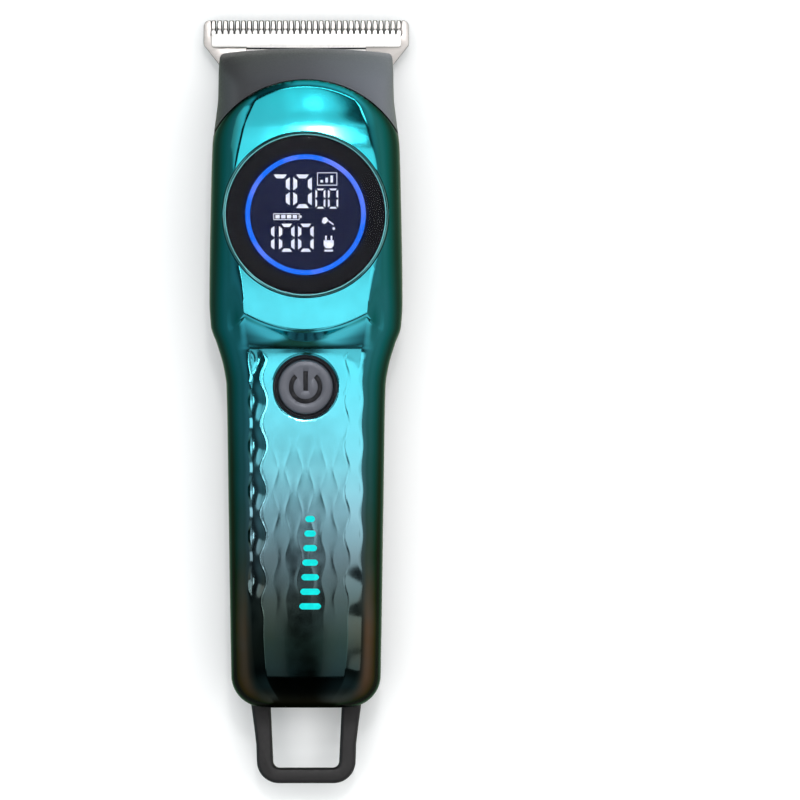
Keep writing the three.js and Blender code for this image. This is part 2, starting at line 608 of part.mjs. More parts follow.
const cutting = groupAt(0, 0, 0,
  piece('fixed_blade', fixedBlade(), brushedSteel),
  piece('moving_blade', movingBlade(), polishedSteel),
  piece('cam_follower', camFollower(), whitePlastic),
  piece('blade_spring', bladeSpring(), brushedSteel));
[['left', -1], ['right', 1]].forEach(([side, sign]) => {
  const x = sign * BLADE_SCREWS[0];
  cutting.add(piece(`blade_screw_${side}`, panScrew(1.9, 1.1, 6), brushedSteel, x, BLADE_SCREW_Y, 3.8));
});

const hanger = groupAt(0, 0, 0,
  piece('hanging_loop', hangingLoop(), satinBlack),
  piece('loop_pin', axle(LOOP.pinR, LOOP.y, LOOP.z, -11.2, 11.2, 16), polishedSteel));

// ---- Leads ----------------------------------------------------------------------------------
const LEAD_R = 0.55;
const leadTop = boardTop + LEAD_R;
const motorLeadRoute = [[5, 4, leadTop], [5, 7, 24.4], [5, 9.6, 23.6], [4.6, 10, 20.8]];
const mirroredRoute = motorLeadRoute.map(([x, y, z]) => [-x, y, z]);
const batteryRedRoute = [[5, 1.2, 12], [7.5, 3, 15], [9.6, 1, 20], [9.8, -3, 24], [7.5, -5, leadTop]];
const batteryBlackRoute = [
  [0, -51.5, 14], [0, -51.7, 19], [0, -50.4, 22.4], [0, -45.5, 24.2], [0, -40, leadTop],
];
const chargeRoute = [[3, -52, 18.3], [3.4, -49, 21.6], [3, -44, 23.6], [2.4, -39, leadTop]];
const leads = groupAt(0, 0, 0,
  piece('motor_lead_red', wire(LEAD_R, motorLeadRoute, 8), leadRed),
  piece('motor_lead_black', wire(LEAD_R, mirroredRoute, 8), leadBlack),
  piece('battery_lead_red', wire(LEAD_R, batteryRedRoute, 14), leadRed),
  piece('battery_lead_black', wire(LEAD_R, batteryBlackRoute, 16), leadBlack),
  piece('charge_lead', wire(LEAD_R, chargeRoute, 10), leadRed),
  piece('display_cable', displayCable(), whitePlastic));

// A flat ribbon from the main board up to the display board.
function displayCable() {
  const corners = [[3, -0.15], [3, 0.15], [-3, 0.15], [-3, -0.15]];
  const section = new THREE.Shape(corners.map((p) => new THREE.Vector2(...p)));
  const route = [[0, 7.4, 23.4], [0, 11, 24.2], [0, 16, 25.2], [0, 22.6, 26]];
  const extrudePath = new THREE.CatmullRomCurve3(route.map((p) => new THREE.Vector3(...p)));
  return new THREE.ExtrudeGeometry(section, { steps: 10, bevelEnabled: false, extrudePath });
}

const hairClipper = new THREE.Group();
hairClipper.add(housing, display, button, electronics, motor, cutting, hanger, leads);

export default hairClipper;
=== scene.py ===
"""Cordless T-blade hair clipper: the looks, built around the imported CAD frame."""

import json
import math

import bmesh
import bpy
import numpy as np
from mathutils import Matrix, Vector


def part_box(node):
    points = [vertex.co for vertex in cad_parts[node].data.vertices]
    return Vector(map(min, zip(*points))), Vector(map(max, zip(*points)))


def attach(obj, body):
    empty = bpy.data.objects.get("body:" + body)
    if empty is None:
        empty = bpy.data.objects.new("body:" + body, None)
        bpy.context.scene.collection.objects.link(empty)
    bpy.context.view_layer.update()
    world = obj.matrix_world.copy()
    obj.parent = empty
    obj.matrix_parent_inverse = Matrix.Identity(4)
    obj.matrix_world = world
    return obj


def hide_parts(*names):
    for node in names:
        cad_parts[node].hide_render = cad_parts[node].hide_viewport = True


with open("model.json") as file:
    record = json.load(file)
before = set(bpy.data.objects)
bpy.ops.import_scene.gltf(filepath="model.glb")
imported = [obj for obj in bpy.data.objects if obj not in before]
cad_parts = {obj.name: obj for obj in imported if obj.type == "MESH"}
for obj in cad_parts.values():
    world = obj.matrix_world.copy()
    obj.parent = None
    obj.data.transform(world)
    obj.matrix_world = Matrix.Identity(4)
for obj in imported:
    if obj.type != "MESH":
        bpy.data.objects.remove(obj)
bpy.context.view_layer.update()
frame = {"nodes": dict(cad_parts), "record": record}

MM = 0.001


def node_mm(name):
    """A CAD node's lowest and highest corners, in millimetres."""
    low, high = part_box(name)
    return np.array(low) / MM, np.array(high) / MM


def middle_mm(name):
    low, high = node_mm(name)
    return (low + high) / 2


# ---- Driving dimensions, in millimetres, from the frame -------------------------------------
TIP_Y = node_mm("fixed_blade")[1][1]
NECK_END_Y = node_mm("head_frame")[1][1]
BODY_END_Y = node_mm("front_cover")[0][1]
LOOP_END_Y = node_mm("hanging_loop")[0][1]
REAR_END_Y = node_mm("rear_cover")[1][1]
COVER_BOTTOM_Z = node_mm("front_cover")[0][2]
REAR_TOP_Z = node_mm("rear_cover")[1][2]
BEZEL_LOW, BEZEL_HIGH = node_mm("display_bezel")
DISPLAY_Y = middle_mm("display_bezel")[1]
BEZEL_R = (BEZEL_HIGH[0] - BEZEL_LOW[0]) / 2
BUTTON_LOW, BUTTON_HIGH = node_mm("power_button")
BUTTON_Y = middle_mm("power_button")[1]
BUTTON_R = 5.4
BUTTON_HOLE_R = 6.4
WALL = 2.0
END_CORNER_Y = BODY_END_Y + 6.4
END_CORNER_R = 6.4
SHOULDER_Z = 17.0
SEAT_Z = 6.8
ARCH_Y = 42.9
ARCH_R = 21.1
ARCH_FILLET = 1.5
DOME_EDGE_R = 22.2
CROWN = 0.45
FRONT_POWER = 2 / 2.6  # below 1, a section's sides are squarer than an ellipse's
SIDE_START = math.radians(76)  # the angle on that curve where a side leaves the front face
SIDE_BLEND = 0.4  # the share of a side's width in which it comes down to its own crest


# ---- Curves ---------------------------------------------------------------------------------
def along(keys):
    """A smooth curve through (y, value) pairs that never overshoots them."""
    ys, vs = np.array(keys, float).T
    slope = np.diff(vs) / np.diff(ys)
    tangent = np.concatenate([slope[:1], np.zeros(len(slope) - 1), slope[-1:]])
    for i in range(1, len(slope)):
        before, after = slope[i - 1], slope[i]
        if before * after > 0:
            tangent[i] = 2 * before * after / (before + after)

    def value(y):
        y = np.clip(np.asarray(y, float), ys[0], ys[-1])
        i = np.clip(np.searchsorted(ys, y, side="left") - 1, 0, len(ys) - 2)
        span = ys[i + 1] - ys[i]
        t = (y - ys[i]) / span
        rise = vs[i] * (1 + 2 * t) * (1 - t) ** 2 + vs[i + 1] * t * t * (3 - 2 * t)
        return rise + span * (tangent[i] * t * (1 - t) ** 2 - tangent[i + 1] * t * t * (1 - t))

    return value


def smooth(low, high, value):
    t = np.clip((np.asarray(value, float) - low) / (high - low), 0, 1)
    return t * t * (3 - 2 * t)


side_half_width = along([
    (END_CORNER_Y, 14.95), (-40, 15.2), (-20, 15.5), (3, 15.9), (7, 16.5), (11.5, 17.8),
    (15, 19), (20, 19.3), (45, 18.9), (51, 18.7), (56, 18.1), (61, 17.55), (67, 17.45),
    (NECK_END_Y - 1, 17.3), (NECK_END_Y - 0.3, 17.05), (NECK_END_Y, 16.6),
])
back_height = along([
    (BODY_END_Y, 2.5), (-58, 0.6), (-54, 0), (36, 0), (48.4, SEAT_Z), (NECK_END_Y, SEAT_Z),
])
crease_half_width = along([
    (BODY_END_Y, 5.5), (END_CORNER_Y, 10), (-45, 10.8), (8, 10.8), (13, 12.1), (20, 12.7),
    (34, 14.4), (44, 14.2), (54, 12.5), (64, 9), (NECK_END_Y, 9),
])
cover_crest = along([
    (BODY_END_Y, 24.5), (-60, 26.4), (-58, 27.8), (-53.3, 29.3), (-20, 30), (10, 30.2),
    (10.9, 30.45), (11.8, 31.15), (12.7, 32.2), (13.4, 33.1), (13.75, 33.55), (14.1, 33.8),
    (14.4, 33.85), (18, 33.87), (37, 34.1), (50, 34), (54.5, 33.6), (58, 33), (61, 32.5), (66, 31.6),
])
side_crest = along([
    (BODY_END_Y, 24.5), (-60, 26.4), (-58, 27.8), (-53.3, 29.3), (-20, 30), (10.6, 30.2),
    (13, 30.8), (18, 32.6), (25, 33.9), (37, 34.1), (50, 34), (54.5, 33.6), (58, 33), (61, 32.5),
    (66, 31.6),
])
neck_crest = along([
    (46, 29.6), (56, 28.8), (60, 27.6), (64, 25.6), (67.5, 21.5), (69.6, 17.6), (NECK_END_Y, 14),
])
dome_bow = along([(0, 0), (10.6, 0.04), (13.3, 1), (16, 1), (34, 0)])


def half_width(y, inset):
    y = np.asarray(y, float)
    r = END_CORNER_R - inset
    end = side_half_width(END_CORNER_Y) - END_CORNER_R
    end = end + np.sqrt(np.maximum(r * r - (END_CORNER_Y - y) ** 2, 0))
    return np.where(y >= END_CORNER_Y, side_half_width(y) - inset, end)


# ---- The fluted grip panel ------------------------------------------------------------------
FLUTES = 9
FLUTE_PERIOD = 8.95
FLUTE_PHASE = 2.34
FLUTE_SWING = 0.55
FLUTE_DEPTH = 0.02
OUTER_FLUTE_DEPTHS = {0: 0.3, FLUTES - 1: 0.03}
EDGE_BEVEL = 0.105
EDGE_BEVEL_WIDTH = 0.5
FLUTE_STEPS = np.array([0, 0.06, 0.2, 0.26, 0.38, 0.5, 0.62, 0.74, 0.8, 0.94])
EVEN_STEPS = np.arange(10) / 10
PLAIN_STEPS = np.arange(3) / 3
PANEL_START_Y = -46.0
PANEL_END_Y = 10.6
OUTER_FLUTE_TILTS = {
    0: along([(-60, 0), (-50, 0.3), (0, 0.3)]),
    FLUTES - 1: along([(-60, 0), (-50, 0.32), (-44, 0.32), (-31, 0.1), (0, 0.1)]),
}


def panel_strength(y):
    """1 where the flutes are full, fading out at both ends of the panel."""
    return smooth(PANEL_START_Y, PANEL_START_Y + 10, y) * (1 - smooth(PANEL_END_Y - 2.5, PANEL_END_Y, y))


def flute_wave(y):
    return np.sin(2 * np.pi * (y - FLUTE_PHASE) / FLUTE_PERIOD)


def flute_edge(k, y, crease):
    """The x of the k-th wavy ridge at y; neighbouring ridges swing opposite ways."""
    swing = FLUTE_SWING * panel_strength(y) * flute_wave(y)
    outer = 0.45 if k in (0, FLUTES) else 1.0
    return crease * (2 * k / FLUTES - 1) + outer * swing * (-1) ** k


def flute_dip(k, u, y, crease):
    """How far the k-th flute lies below the plain crowned front, at the share u of its width."""
    strength = panel_strength(y)
    width = flute_edge(k + 1, y, crease) - flute_edge(k, y, crease)
    scoop = 4 * u * (1 - u)
    if k in OUTER_FLUTE_DEPTHS:
        outward = (1 - u if k == 0 else u) * width
        tilt = OUTER_FLUTE_TILTS[k](y) * (1 - smooth(PANEL_END_Y - 9, PANEL_END_Y, y))
        return tilt * outward + strength * OUTER_FLUTE_DEPTHS[k] * scoop * (0.5 - 0.5 * flute_wave(y))
    inward = {1: u, FLUTES - 2: 1 - u}.get(k)
    bevel = 0 if inward is None else EDGE_BEVEL * np.maximum(EDGE_BEVEL_WIDTH - inward * width, 0)
    inner = FLUTE_DEPTH * (1 - smooth(BUTTON_Y - 16, BUTTON_Y - 8.5, y))
    return strength * (inner * scoop + bevel)


def front_z(x, y):
    """Height of the grip's front face, for what is printed on it."""
    crease = float(crease_half_width(y))
    edges = [float(flute_edge(k, y, crease)) for k in range(FLUTES + 1)]
    k = int(np.clip(np.searchsorted(edges, x) - 1, 0, FLUTES - 1))
    u = np.clip((x - edges[k]) / (edges[k + 1] - edges[k]), 0, 1)
    return float(cover_crest(y)) - CROWN * (x / crease) ** 2 - float(flute_dip(k, u, y, crease))


# ---- Mesh building --------------------------------------------------------------------------
def new_object(name, verts, faces):
    mesh = bpy.data.meshes.new(name)
    mesh.from_pydata([tuple(v) for v in np.asarray(verts, float) * MM], [], faces)
    mesh.validate()
    work = bmesh.new()
    work.from_mesh(mesh)
    bmesh.ops.recalc_face_normals(work, faces=work.faces)
    work.to_mesh(mesh)
    work.free()
    piece = bpy.data.objects.new(name, mesh)
    bpy.context.scene.collection.objects.link(piece)
    return piece


def skin(name, rows, closed=False):
    """A skin over rings of points: a closed row of them, or one that is capped at both ends."""
    count, ring = rows.shape[:2]
    faces = []
    for s in range(count if closed else count - 1):
        for i in range(ring):
            j, t = (i + 1) % ring, (s + 1) % count
            faces.append((s * ring + i, s * ring + j, t * ring + j, t * ring + i))
    if not closed:
        faces += [tuple(range(ring)), tuple((count - 1) * ring + i for i in range(ring))]
    return new_object(name, rows.reshape(-1, 3), faces)


def lathe(name, profile, centre=(0, 0), steps=96):
    """A closed (radius, z) outline turned about a vertical axis through centre."""
    rows = []
    for s in range(steps):
        turn = 2 * math.pi * s / steps
        across, ahead = math.cos(turn), math.sin(turn)
        rows.append([(centre[0] + r * across, centre[1] + r * ahead, z) for r, z in profile])
    return merge(skin(name, np.array(rows), closed=True))


def merge(piece):
    """Joins points that share a place, such as those of a lathe's outline on its axis."""
    work = bmesh.new()
    work.from_mesh(piece.data)
    bmesh.ops.remove_doubles(work, verts=work.verts, dist=1e-7)
    bmesh.ops.dissolve_degenerate(work, edges=work.edges, dist=1e-7)
    bmesh.ops.recalc_face_normals(work, faces=work.faces)
    work.to_mesh(piece.data)
    work.free()
    return piece


def prisms(name, outlines, z0, z1):
    """Flat outlines, each thickened from z0 to z1."""
    verts, faces = [], []
    for outline in outlines:
        a, b = len(verts), len(verts) + len(outline)
        verts += [(x, y, z) for z in (z0, z1) for x, y in outline]
        faces += [tuple(range(a, b)), tuple(range(b, len(verts)))]
        for i, j in enumerate([*range(1, b - a), 0]):
            faces.append((a + i, a + j, b + j, b + i))
    return new_object(name, verts, faces)


def prism(name, outline, z0, z1):
    return prisms(name, [outline], z0, z1)


def bar_faces(start, sections):
    """The faces of a bar over sections of four points each, the first of them numbered start."""
    last = start + 4 * (sections - 1)
    faces = [
        (a + j, a + (j + 1) % 4, a + 4 + (j + 1) % 4, a + 4 + j)
        for a in range(start, last, 4) for j in range(4)
    ]
    return faces + [tuple(range(start, start + 4)), tuple(range(last, last + 4))]


def block(name, x0, x1, y0, y1, z0, z1):
    return prism(name, [(x0, y0), (x1, y0), (x1, y1), (x0, y1)], z0, z1)


def rod(name, r, x, y, z0, z1, steps=48):
    return lathe(name, [(0, z0), (r, z0), (r, z1), (0, z1)], (x, y), steps)


def turned(piece, axis):
    """Turns a piece built about the vertical so that it lies along Y or X."""
    turn = Matrix.Rotation(-math.pi / 2, 4, "X") if axis == "Y" else Matrix.Rotation(math.pi / 2, 4, "Y")
    piece.data.transform(turn)
    return piece


def moved(piece, x, y, z):
    piece.data.transform(Matrix.Translation(Vector((x, y, z)) * MM))
    return piece


def modified(piece):
    """Applies every modifier on a piece."""
    graph = bpy.context.evaluated_depsgraph_get()
    mesh = bpy.data.meshes.new_from_object(piece.evaluated_get(graph))
    old = piece.data
    piece.modifiers.clear()
    piece.data = mesh
    bpy.data.meshes.remove(old)
    return piece


def combine(piece, others, operation):
    """Joins, cuts or intersects a piece with others, which are used up."""
    for other in others:
        change = piece.modifiers.new("boolean", "BOOLEAN")
        change.operation = operation
        change.solver = "MANIFOLD"
        change.object = other
        modified(piece)
        bpy.data.objects.remove(other)
    return piece


def cut(piece, *others):
    return combine(piece, others, "DIFFERENCE")


def join(piece, *others):
    return combine(piece, others, "UNION")


def common(piece, *others):
    return combine(piece, others, "INTERSECT")


def rounded(piece, width, segments=3, angle=40):
    """Rounds every edge sharper than the angle."""
    change = piece.modifiers.new("bevel", "BEVEL")
    change.width = width * MM
    change.segments = segments
    change.limit_method = "ANGLE"
    change.angle_limit = math.radians(angle)
    change.use_clamp_overlap = True
    return modified(piece)


def shade(piece, angle=35):
    piece.data.shade_smooth()
    piece.data.set_sharp_from_angle(angle=math.radians(angle))
    return piece


def place(piece, body, slot, material, *nodes):
    """Finishes a piece: its material, the body that it rides on and the CAD nodes that it stands for."""
    piece.data.materials.clear()
    piece.data.materials.append(material)
    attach(piece, body)
    if nodes:
        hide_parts(*nodes)
    return piece


def arc(cx, cy, r, start, end, steps):
    turns = np.radians(np.linspace(start, end, steps + 1))
    return [(cx + r * math.cos(t), cy + r * math.sin(t)) for t in turns]


# ---- Materials ------------------------------------------------------------------------------
def linear(r, g, b):
    """A display colour, 0 to 255, as linear light."""
    shares = [c / 255 for c in (r, g, b)]
    return (*[((c + 0.055) / 1.055) ** 2.4 if c > 0.04 else c / 12.92 for c in shares], 1)


class Nodes:
    """A node tree, with short calls for the nodes used here."""

    def __init__(self, tree):
        self.tree = tree

    def add(self, kind, **settings):
        node = self.tree.nodes.new(kind)
        for key, value in settings.items():
            setattr(node, key, value)
        return node

    def link(self, source, target):
        self.tree.links.new(source, target)

    def axis(self, vector, name):
        """One axis of a vector."""
        node = self.add("ShaderNodeSeparateXYZ")
        self.link(vector, node.inputs["Vector"])
        return node.outputs[name]

    def range(self, source, low, high, from_low=0.0, from_high=1.0, kind="LINEAR"):
        node = self.add("ShaderNodeMapRange", interpolation_type=kind)
        node.inputs["From Min"].default_value = from_low
        node.inputs["From Max"].default_value = from_high
        node.inputs["To Min"].default_value = low
        node.inputs["To Max"].default_value = high
        self.link(source, node.inputs["Value"])
        return node.outputs["Result"]

    def mix(self, share, first, second):
        node = self.add("ShaderNodeMix", data_type="RGBA")
        for key, value in (("Factor", share), ("A", first), ("B", second)):
            named = [s for s in node.inputs if s.name == key]
            socket = [s for s in named if s.type == "RGBA" or key == "Factor"][0]
            if isinstance(value, (tuple, float, int)):
                socket.default_value = value
            else:
                self.link(value, socket)
        return [s for s in node.outputs if s.type == "RGBA"][0]

    def ramp(self, source, stops):
        node = self.add("ShaderNodeValToRGB")
        elements = node.color_ramp.elements
        while len(elements) < len(stops):
            elements.new(0.5)
        for element, (position, color) in zip(elements, stops):
            element.position = position
            element.color = color
        self.link(source, node.inputs["Fac"])
        return node.outputs["Color"]


class Finish(Nodes):
    """A material's node tree."""

    def __init__(self, name, **sockets):
        self.material = bpy.data.materials.new(name)
        self.material.use_nodes = True
        super().__init__(self.material.node_tree)
        self.shader = self.tree.nodes["Principled BSDF"]
        for socket, value in sockets.items():
            self.shader.inputs[socket.replace("_", " ")].default_value = value

    def to_shader(self, source, socket):
        self.link(source, self.shader.inputs[socket])

    def position(self, scale=(1, 1, 1)):
        mapping = self.add("ShaderNodeMapping")
        mapping.inputs["Scale"].default_value = scale
        self.link(self.add("ShaderNodeTexCoord").outputs["Object"], mapping.inputs["Vector"])
        return mapping.outputs["Vector"]

    def normal(self, name):
        """One axis of the direction that the surface faces."""
        return self.axis(self.add("ShaderNodeNewGeometry").outputs["Normal"], name)

    def noise(self, where, scale, detail=4):
        node = self.add("ShaderNodeTexNoise")
        node.inputs["Scale"].default_value = scale
        node.inputs["Detail"].default_value = detail
        node.inputs["Roughness"].default_value = 0.55
        self.link(where, node.inputs["Vector"])
        return node.outputs["Fac"]

    def bump(self, height, strength, distance_mm):
        node = self.add("ShaderNodeBump")
        node.inputs["Strength"].default_value = strength
        node.inputs["Distance"].default_value = distance_mm * MM
        self.link(height, node.inputs["Height"])
        self.to_shader(node.outputs["Normal"], "Normal")


def grained(name, color, roughness, scale=900, spread=0.2, bump=0.15, stretch=(1, 1, 1), **sockets):
    """A material with fine grain in its colour, roughness and relief."""
    made = Finish(name, **sockets)
    where = made.position(stretch)
    fine = made.noise(where, scale)
    broad = made.noise(where, scale / 12, 3)
    dark = tuple(c * (1 - spread) for c in color[:3]) + (1,)
    light = tuple(min(c * (1 + spread), 1) for c in color[:3]) + (1,)
    made.to_shader(made.mix(made.range(broad, 0, 1, 0.3, 0.7), dark, light), "Base Color")
    low, high = roughness * (1 - spread), min(roughness * (1 + spread), 1)
    made.to_shader(made.range(fine, low, high, 0.3, 0.7), "Roughness")
    made.bump(fine, bump, 0.05)
    return made.material


def plated_material():
    """Vacuum plating that runs from teal at the head through blue-grey to green-black at the end; faces
    that turn sideways take darker colours, as painted shade.
    """
    made = Finish(
        "plated_gradient", Metallic=1.0, Specular_Tint=(0.14, 0.32, 0.27, 1), Coat_Weight=0.12,
        Coat_Roughness=0.03,
    )
    where = made.position()
    along_y = made.range(made.axis(where, "Y"), 0, 1, BODY_END_Y * MM, NECK_END_Y * MM)

    def share(y):
        return (y - BODY_END_Y) / (NECK_END_Y - BODY_END_Y)

    front = made.ramp(along_y, [
        (share(-61), linear(60, 50, 32)), (share(-57), linear(20, 28, 20)),
        (share(-48), linear(48, 66, 56)), (share(-40), linear(82, 98, 94)),
        (share(-31), linear(112, 138, 146)), (share(-22), linear(134, 184, 198)),
        (share(-10), linear(118, 208, 224)), (share(6), linear(92, 216, 234)),
        (share(38), linear(62, 200, 214)), (share(64), linear(40, 178, 190)),
    ])
    # Painted shade: faces that turn sideways take this darker ramp instead of the front one.
    side = made.ramp(along_y, [
        (share(-61), linear(72, 50, 30)), (share(-45), linear(86, 62, 38)),
        (share(-32), linear(54, 64, 52)), (share(-18), linear(34, 78, 74)),
        (share(10), linear(22, 102, 104)), (share(64), linear(26, 108, 104)),
    ])
    # The share of the front colour, by how far a face turns sideways: this paints shade on the sides.
    sideways = made.add("ShaderNodeMath", operation="ABSOLUTE")
    made.link(made.normal("X"), sideways.inputs[0])
    painted_shade_by_facing = made.range(sideways.outputs[0], 1, 0, 0.25, 0.62, "SMOOTHSTEP")
    smear = made.range(made.noise(where, 60, 3), 0, 0.12, 0.4, 0.7)
    shifted = made.mix(smear, made.mix(painted_shade_by_facing, side, front), (0.05, 0.2, 0.3, 1))
    made.to_shader(shifted, "Base Color")
    made.to_shader(made.range(made.noise(where, 240), 0.09, 0.16, 0.3, 0.7), "Roughness")
    made.bump(made.noise(where, 45, 2), 0.06, 0.2)
    return made.material


def neck_material():
    """Satin paint with fine flakes, and painted shade: dark at the left and light at the right."""
    made = Finish("satin_neck", Metallic=0.25, Coat_Weight=0.15, Coat_Roughness=0.35)
    where = made.position()
    flake = made.noise(where, 2600, 2)
    broad = made.range(made.noise(where, 30, 2), 0, 0.12, 0.3, 0.7)
    # Painted light and shade: the colour runs from dark at the left to light at the right, as if lit from
    # that side.
    across = made.ramp(made.range(made.axis(where, "X"), 0, 1, -18 * MM, 18 * MM), [
        (0, linear(56, 56, 56)), (0.5, linear(78, 78, 84)), (1, linear(112, 116, 124)),
    ])
    made.to_shader(made.mix(broad, across, linear(60, 60, 64)), "Base Color")
    made.to_shader(made.range(flake, 0.34, 0.5, 0.3, 0.7), "Roughness")
    made.bump(flake, 0.12, 0.02)
    return made.material


def glass_material():
    """Clear glass with faint smudges."""
    made = Finish("lens_glass", Transmission_Weight=1.0, IOR=1.1)
    where = made.position()
    smudge = made.noise(where, 110, 3)
    tint = made.mix(made.range(smudge, 0, 1), (0.93, 0.95, 1, 1), (0.98, 0.99, 1, 1))
    made.to_shader(made.range(smudge, 0.0, 0.035, 0.45, 0.75), "Roughness")
    made.to_shader(tint, "Base Color")
    return made.material


def blade_material(name, color, roughness, stretch, metallic):
    """Ground steel with fine lines; faces that turn away from straight up, such as the walls between the
    teeth, are painted dark grey as shade.
    """
    made = Finish(name, Metallic=metallic)
    lines = made.noise(made.position(stretch), 460)
    # Painted shade: faces that don't look up take a dark grey.
    flat = made.range(made.normal("Z"), 0, 1, 0.72, 0.97)
    dull = tuple(0.93 * c for c in color[:3]) + (1,)
    ground = made.mix(made.range(lines, 0, 1, 0.35, 0.65), dull, color)
    made.to_shader(made.mix(flat, linear(74, 72, 72), ground), "Base Color")
    made.to_shader(made.range(lines, roughness * 0.9, roughness * 1.1, 0.3, 0.7), "Roughness")
    made.bump(lines, 0.04, 0.05)
    return made.material


def lit_material(name, first, second, strength, scale):
    """A surface that glows, unevenly, between two colours."""
    made = Finish(name, Roughness=0.5, Specular_IOR_Level=0.1, Emission_Strength=strength)
    uneven = made.range(made.noise(made.position(), scale, 2), 0, 1, 0.45, 0.75)
    glow = made.mix(uneven, first, second)
    made.to_shader(glow, "Emission Color")
    made.to_shader(made.mix(0.9, glow, (0, 0, 0, 1)), "Base Color")
    return made.material


PLATED = plated_material()
NECK = neck_material()
GLASS = glass_material()
BLUE_GLOW = lit_material("blue_glow", linear(14, 104, 240), linear(120, 132, 250), 1.05, 110)
WHITE_GLOW = lit_material("white_glow", linear(226, 230, 248), linear(255, 255, 255), 0.95, 900)
# Painted light: the cyan grip print glows, though it is only a print.
PAINTED_GLOW_CYAN_PRINT = lit_material("cyan_print_painted_glow", linear(0, 232, 230), linear(0, 250, 244), 0.85, 900)
SATIN_BLACK = grained("satin_black_moulding", linear(22, 20, 21), 0.45, 1800, 0.18, 0.25)
REAR_BLACK = grained("rear_black_moulding", linear(30, 31, 33), 0.5, 1400, 0.2, 0.35)
BUTTON_GREY = grained("button_satin", linear(82, 84, 92), 0.36, 1800, 0.1, 0.12, Metallic=0.4)
GAP_BLACK = grained("gasket_rubber", linear(14, 14, 20), 0.6, 1200, 0.3, 0.3)
FACE_BLACK = grained(
    "display_face", linear(20, 24, 48), 0.6, 300, 0.2, 0.05, Specular_IOR_Level=0.0,
)
BEZEL_METAL = grained("bezel_metal", linear(104, 172, 176), 0.14, 700, 0.08, 0.05, Metallic=1.0)
BORDER_BLACK = grained(
    "lens_border_print", linear(18, 18, 22), 0.5, 500, 0.15, 0.05, Specular_IOR_Level=0.0,
)
BLADE_GROUND = blade_material("ground_steel", linear(216, 210, 206), 0.36, (0.12, 3, 1), 0.7)
BLADE_POLISHED = blade_material("polished_steel", linear(255, 252, 249), 0.3, (3, 0.3, 1), 0.4)
SCREW_STEEL = grained("screw_steel", linear(150, 150, 152), 0.32, 900, 0.15, 0.15, Metallic=1.0)

SLOT_LOOKS = {
    "plated_teal": PLATED,
    "satin_grey": NECK,
    "satin_black": SATIN_BLACK,
    "dark_glass": GLASS,
    "blue_light": BLUE_GLOW,
    "black_plastic": GAP_BLACK,
    "white_plastic": grained("white_acetal", linear(226, 226, 218), 0.42, 700, 0.05, 0.1),
    "polished_steel": BLADE_POLISHED,
    "brushed_steel": SCREW_STEEL,
    "board_green": grained("solder_mask", linear(24, 104, 58), 0.35, 420, 0.25, 0.2),
    "nickel": grained("nickel_plate", linear(200, 196, 184), 0.28, 800, 0.1, 0.1, Metallic=1.0),
    "magnet_black": grained("sintered_magnet", linear(48, 48, 54), 0.6, 900, 0.25, 0.4),
    "copper_core": grained(
        "wound_copper", linear(184, 104, 60), 0.35, 1600, 0.3, 0.4, (1, 0.1, 1), Metallic=1.0,
    ),
    "cell_blue": grained("cell_sleeve", linear(40, 92, 160), 0.3, 240, 0.1, 0.08),
    "lead_red": grained("red_insulation", linear(178, 32, 26), 0.45, 1200, 0.12, 0.1),
    "lead_black": grained("black_insulation", linear(22, 22, 25), 0.45, 1200, 0.2, 0.1),
}


# ---- Body skins -----------------------------------------------------------------------------
def section_ring(y, crest, inset, fluted, side_crest=None):
    """One closed cross-section, from the left end of the front face round to it again.

    Where a side crest is given, the front face ends in an edge, and the sides run up to that crest.
    """
    wide = float(half_width(y, inset))
    top = float(crest(y)) - inset
    bottom = float(back_height(y)) + inset
    shoulder = min(SHOULDER_Z, bottom + 0.6 * (top - bottom))
    crease = min(float(crease_half_width(y)) - inset / 2, wide - 1.5)
    corner_x = min(6 - inset / 2, wide - 1)
    corner_z = min(7 - inset, shoulder - bottom - 0.5)
    front = []
    even = smooth(PANEL_END_Y - 2, PANEL_END_Y, y)
    steps = FLUTE_STEPS * (1 - even) + EVEN_STEPS * even if fluted else PLAIN_STEPS
    for k in range(FLUTES):
        left, right = (
            float(flute_edge(k + i, y, crease)) if fluted else crease * (2 * (k + i) / FLUTES - 1)
            for i in (0, 1)
        )
        for u in steps:
            x = left + u * (right - left)
            dip = float(flute_dip(k, u, y, crease)) if fluted else 0
            front.append((x, top - CROWN * (x / crease) ** 2 - dip))
    corner_steps = 18 if fluted else 8
    start = SIDE_START if side_crest else math.pi / 2
    edge_x = float(flute_edge(FLUTES, y, crease)) if fluted else crease
    edge_z = top - CROWN - (float(flute_dip(FLUTES - 1, 1, y, crease)) if fluted else 0)
    side_z_top = float(side_crest(y)) - inset - CROWN - (top - CROWN - edge_z) if side_crest else edge_z
    right_side = []
    for i in range(corner_steps, -1, -1):
        t = i / corner_steps * start
        lost = math.cos(start) ** FRONT_POWER if side_crest else 0
        out = 0 if i == corner_steps else (math.cos(t) ** FRONT_POWER - lost) / (1 - lost)
        up = 0 if i == 0 else (math.sin(t) / math.sin(start)) ** FRONT_POWER
        peak = edge_z + (side_z_top - edge_z) * float(smooth(0, SIDE_BLEND, out))
        right_side.append((edge_x + (wide - edge_x) * out, shoulder + (peak - shoulder) * up))
    low_steps = 8
    side_z = bottom + corner_z
    right_side += [(wide, shoulder + (side_z - shoulder) * i / 3) for i in (1, 2)]
    for i in range(low_steps + 1):
        t = i / low_steps * math.pi / 2
        right_side.append((wide - corner_x * (1 - math.cos(t)), side_z - corner_z * math.sin(t)))
    back = [((wide - corner_x) * (1 - i / 3), bottom) for i in (1, 2)]
    half = right_side + back
    mirrored = [(-x, z) for x, z in reversed(half)]
    ring = front + half + [(0, bottom)] + mirrored[:-1]
    return np.array(ring), wide, crease


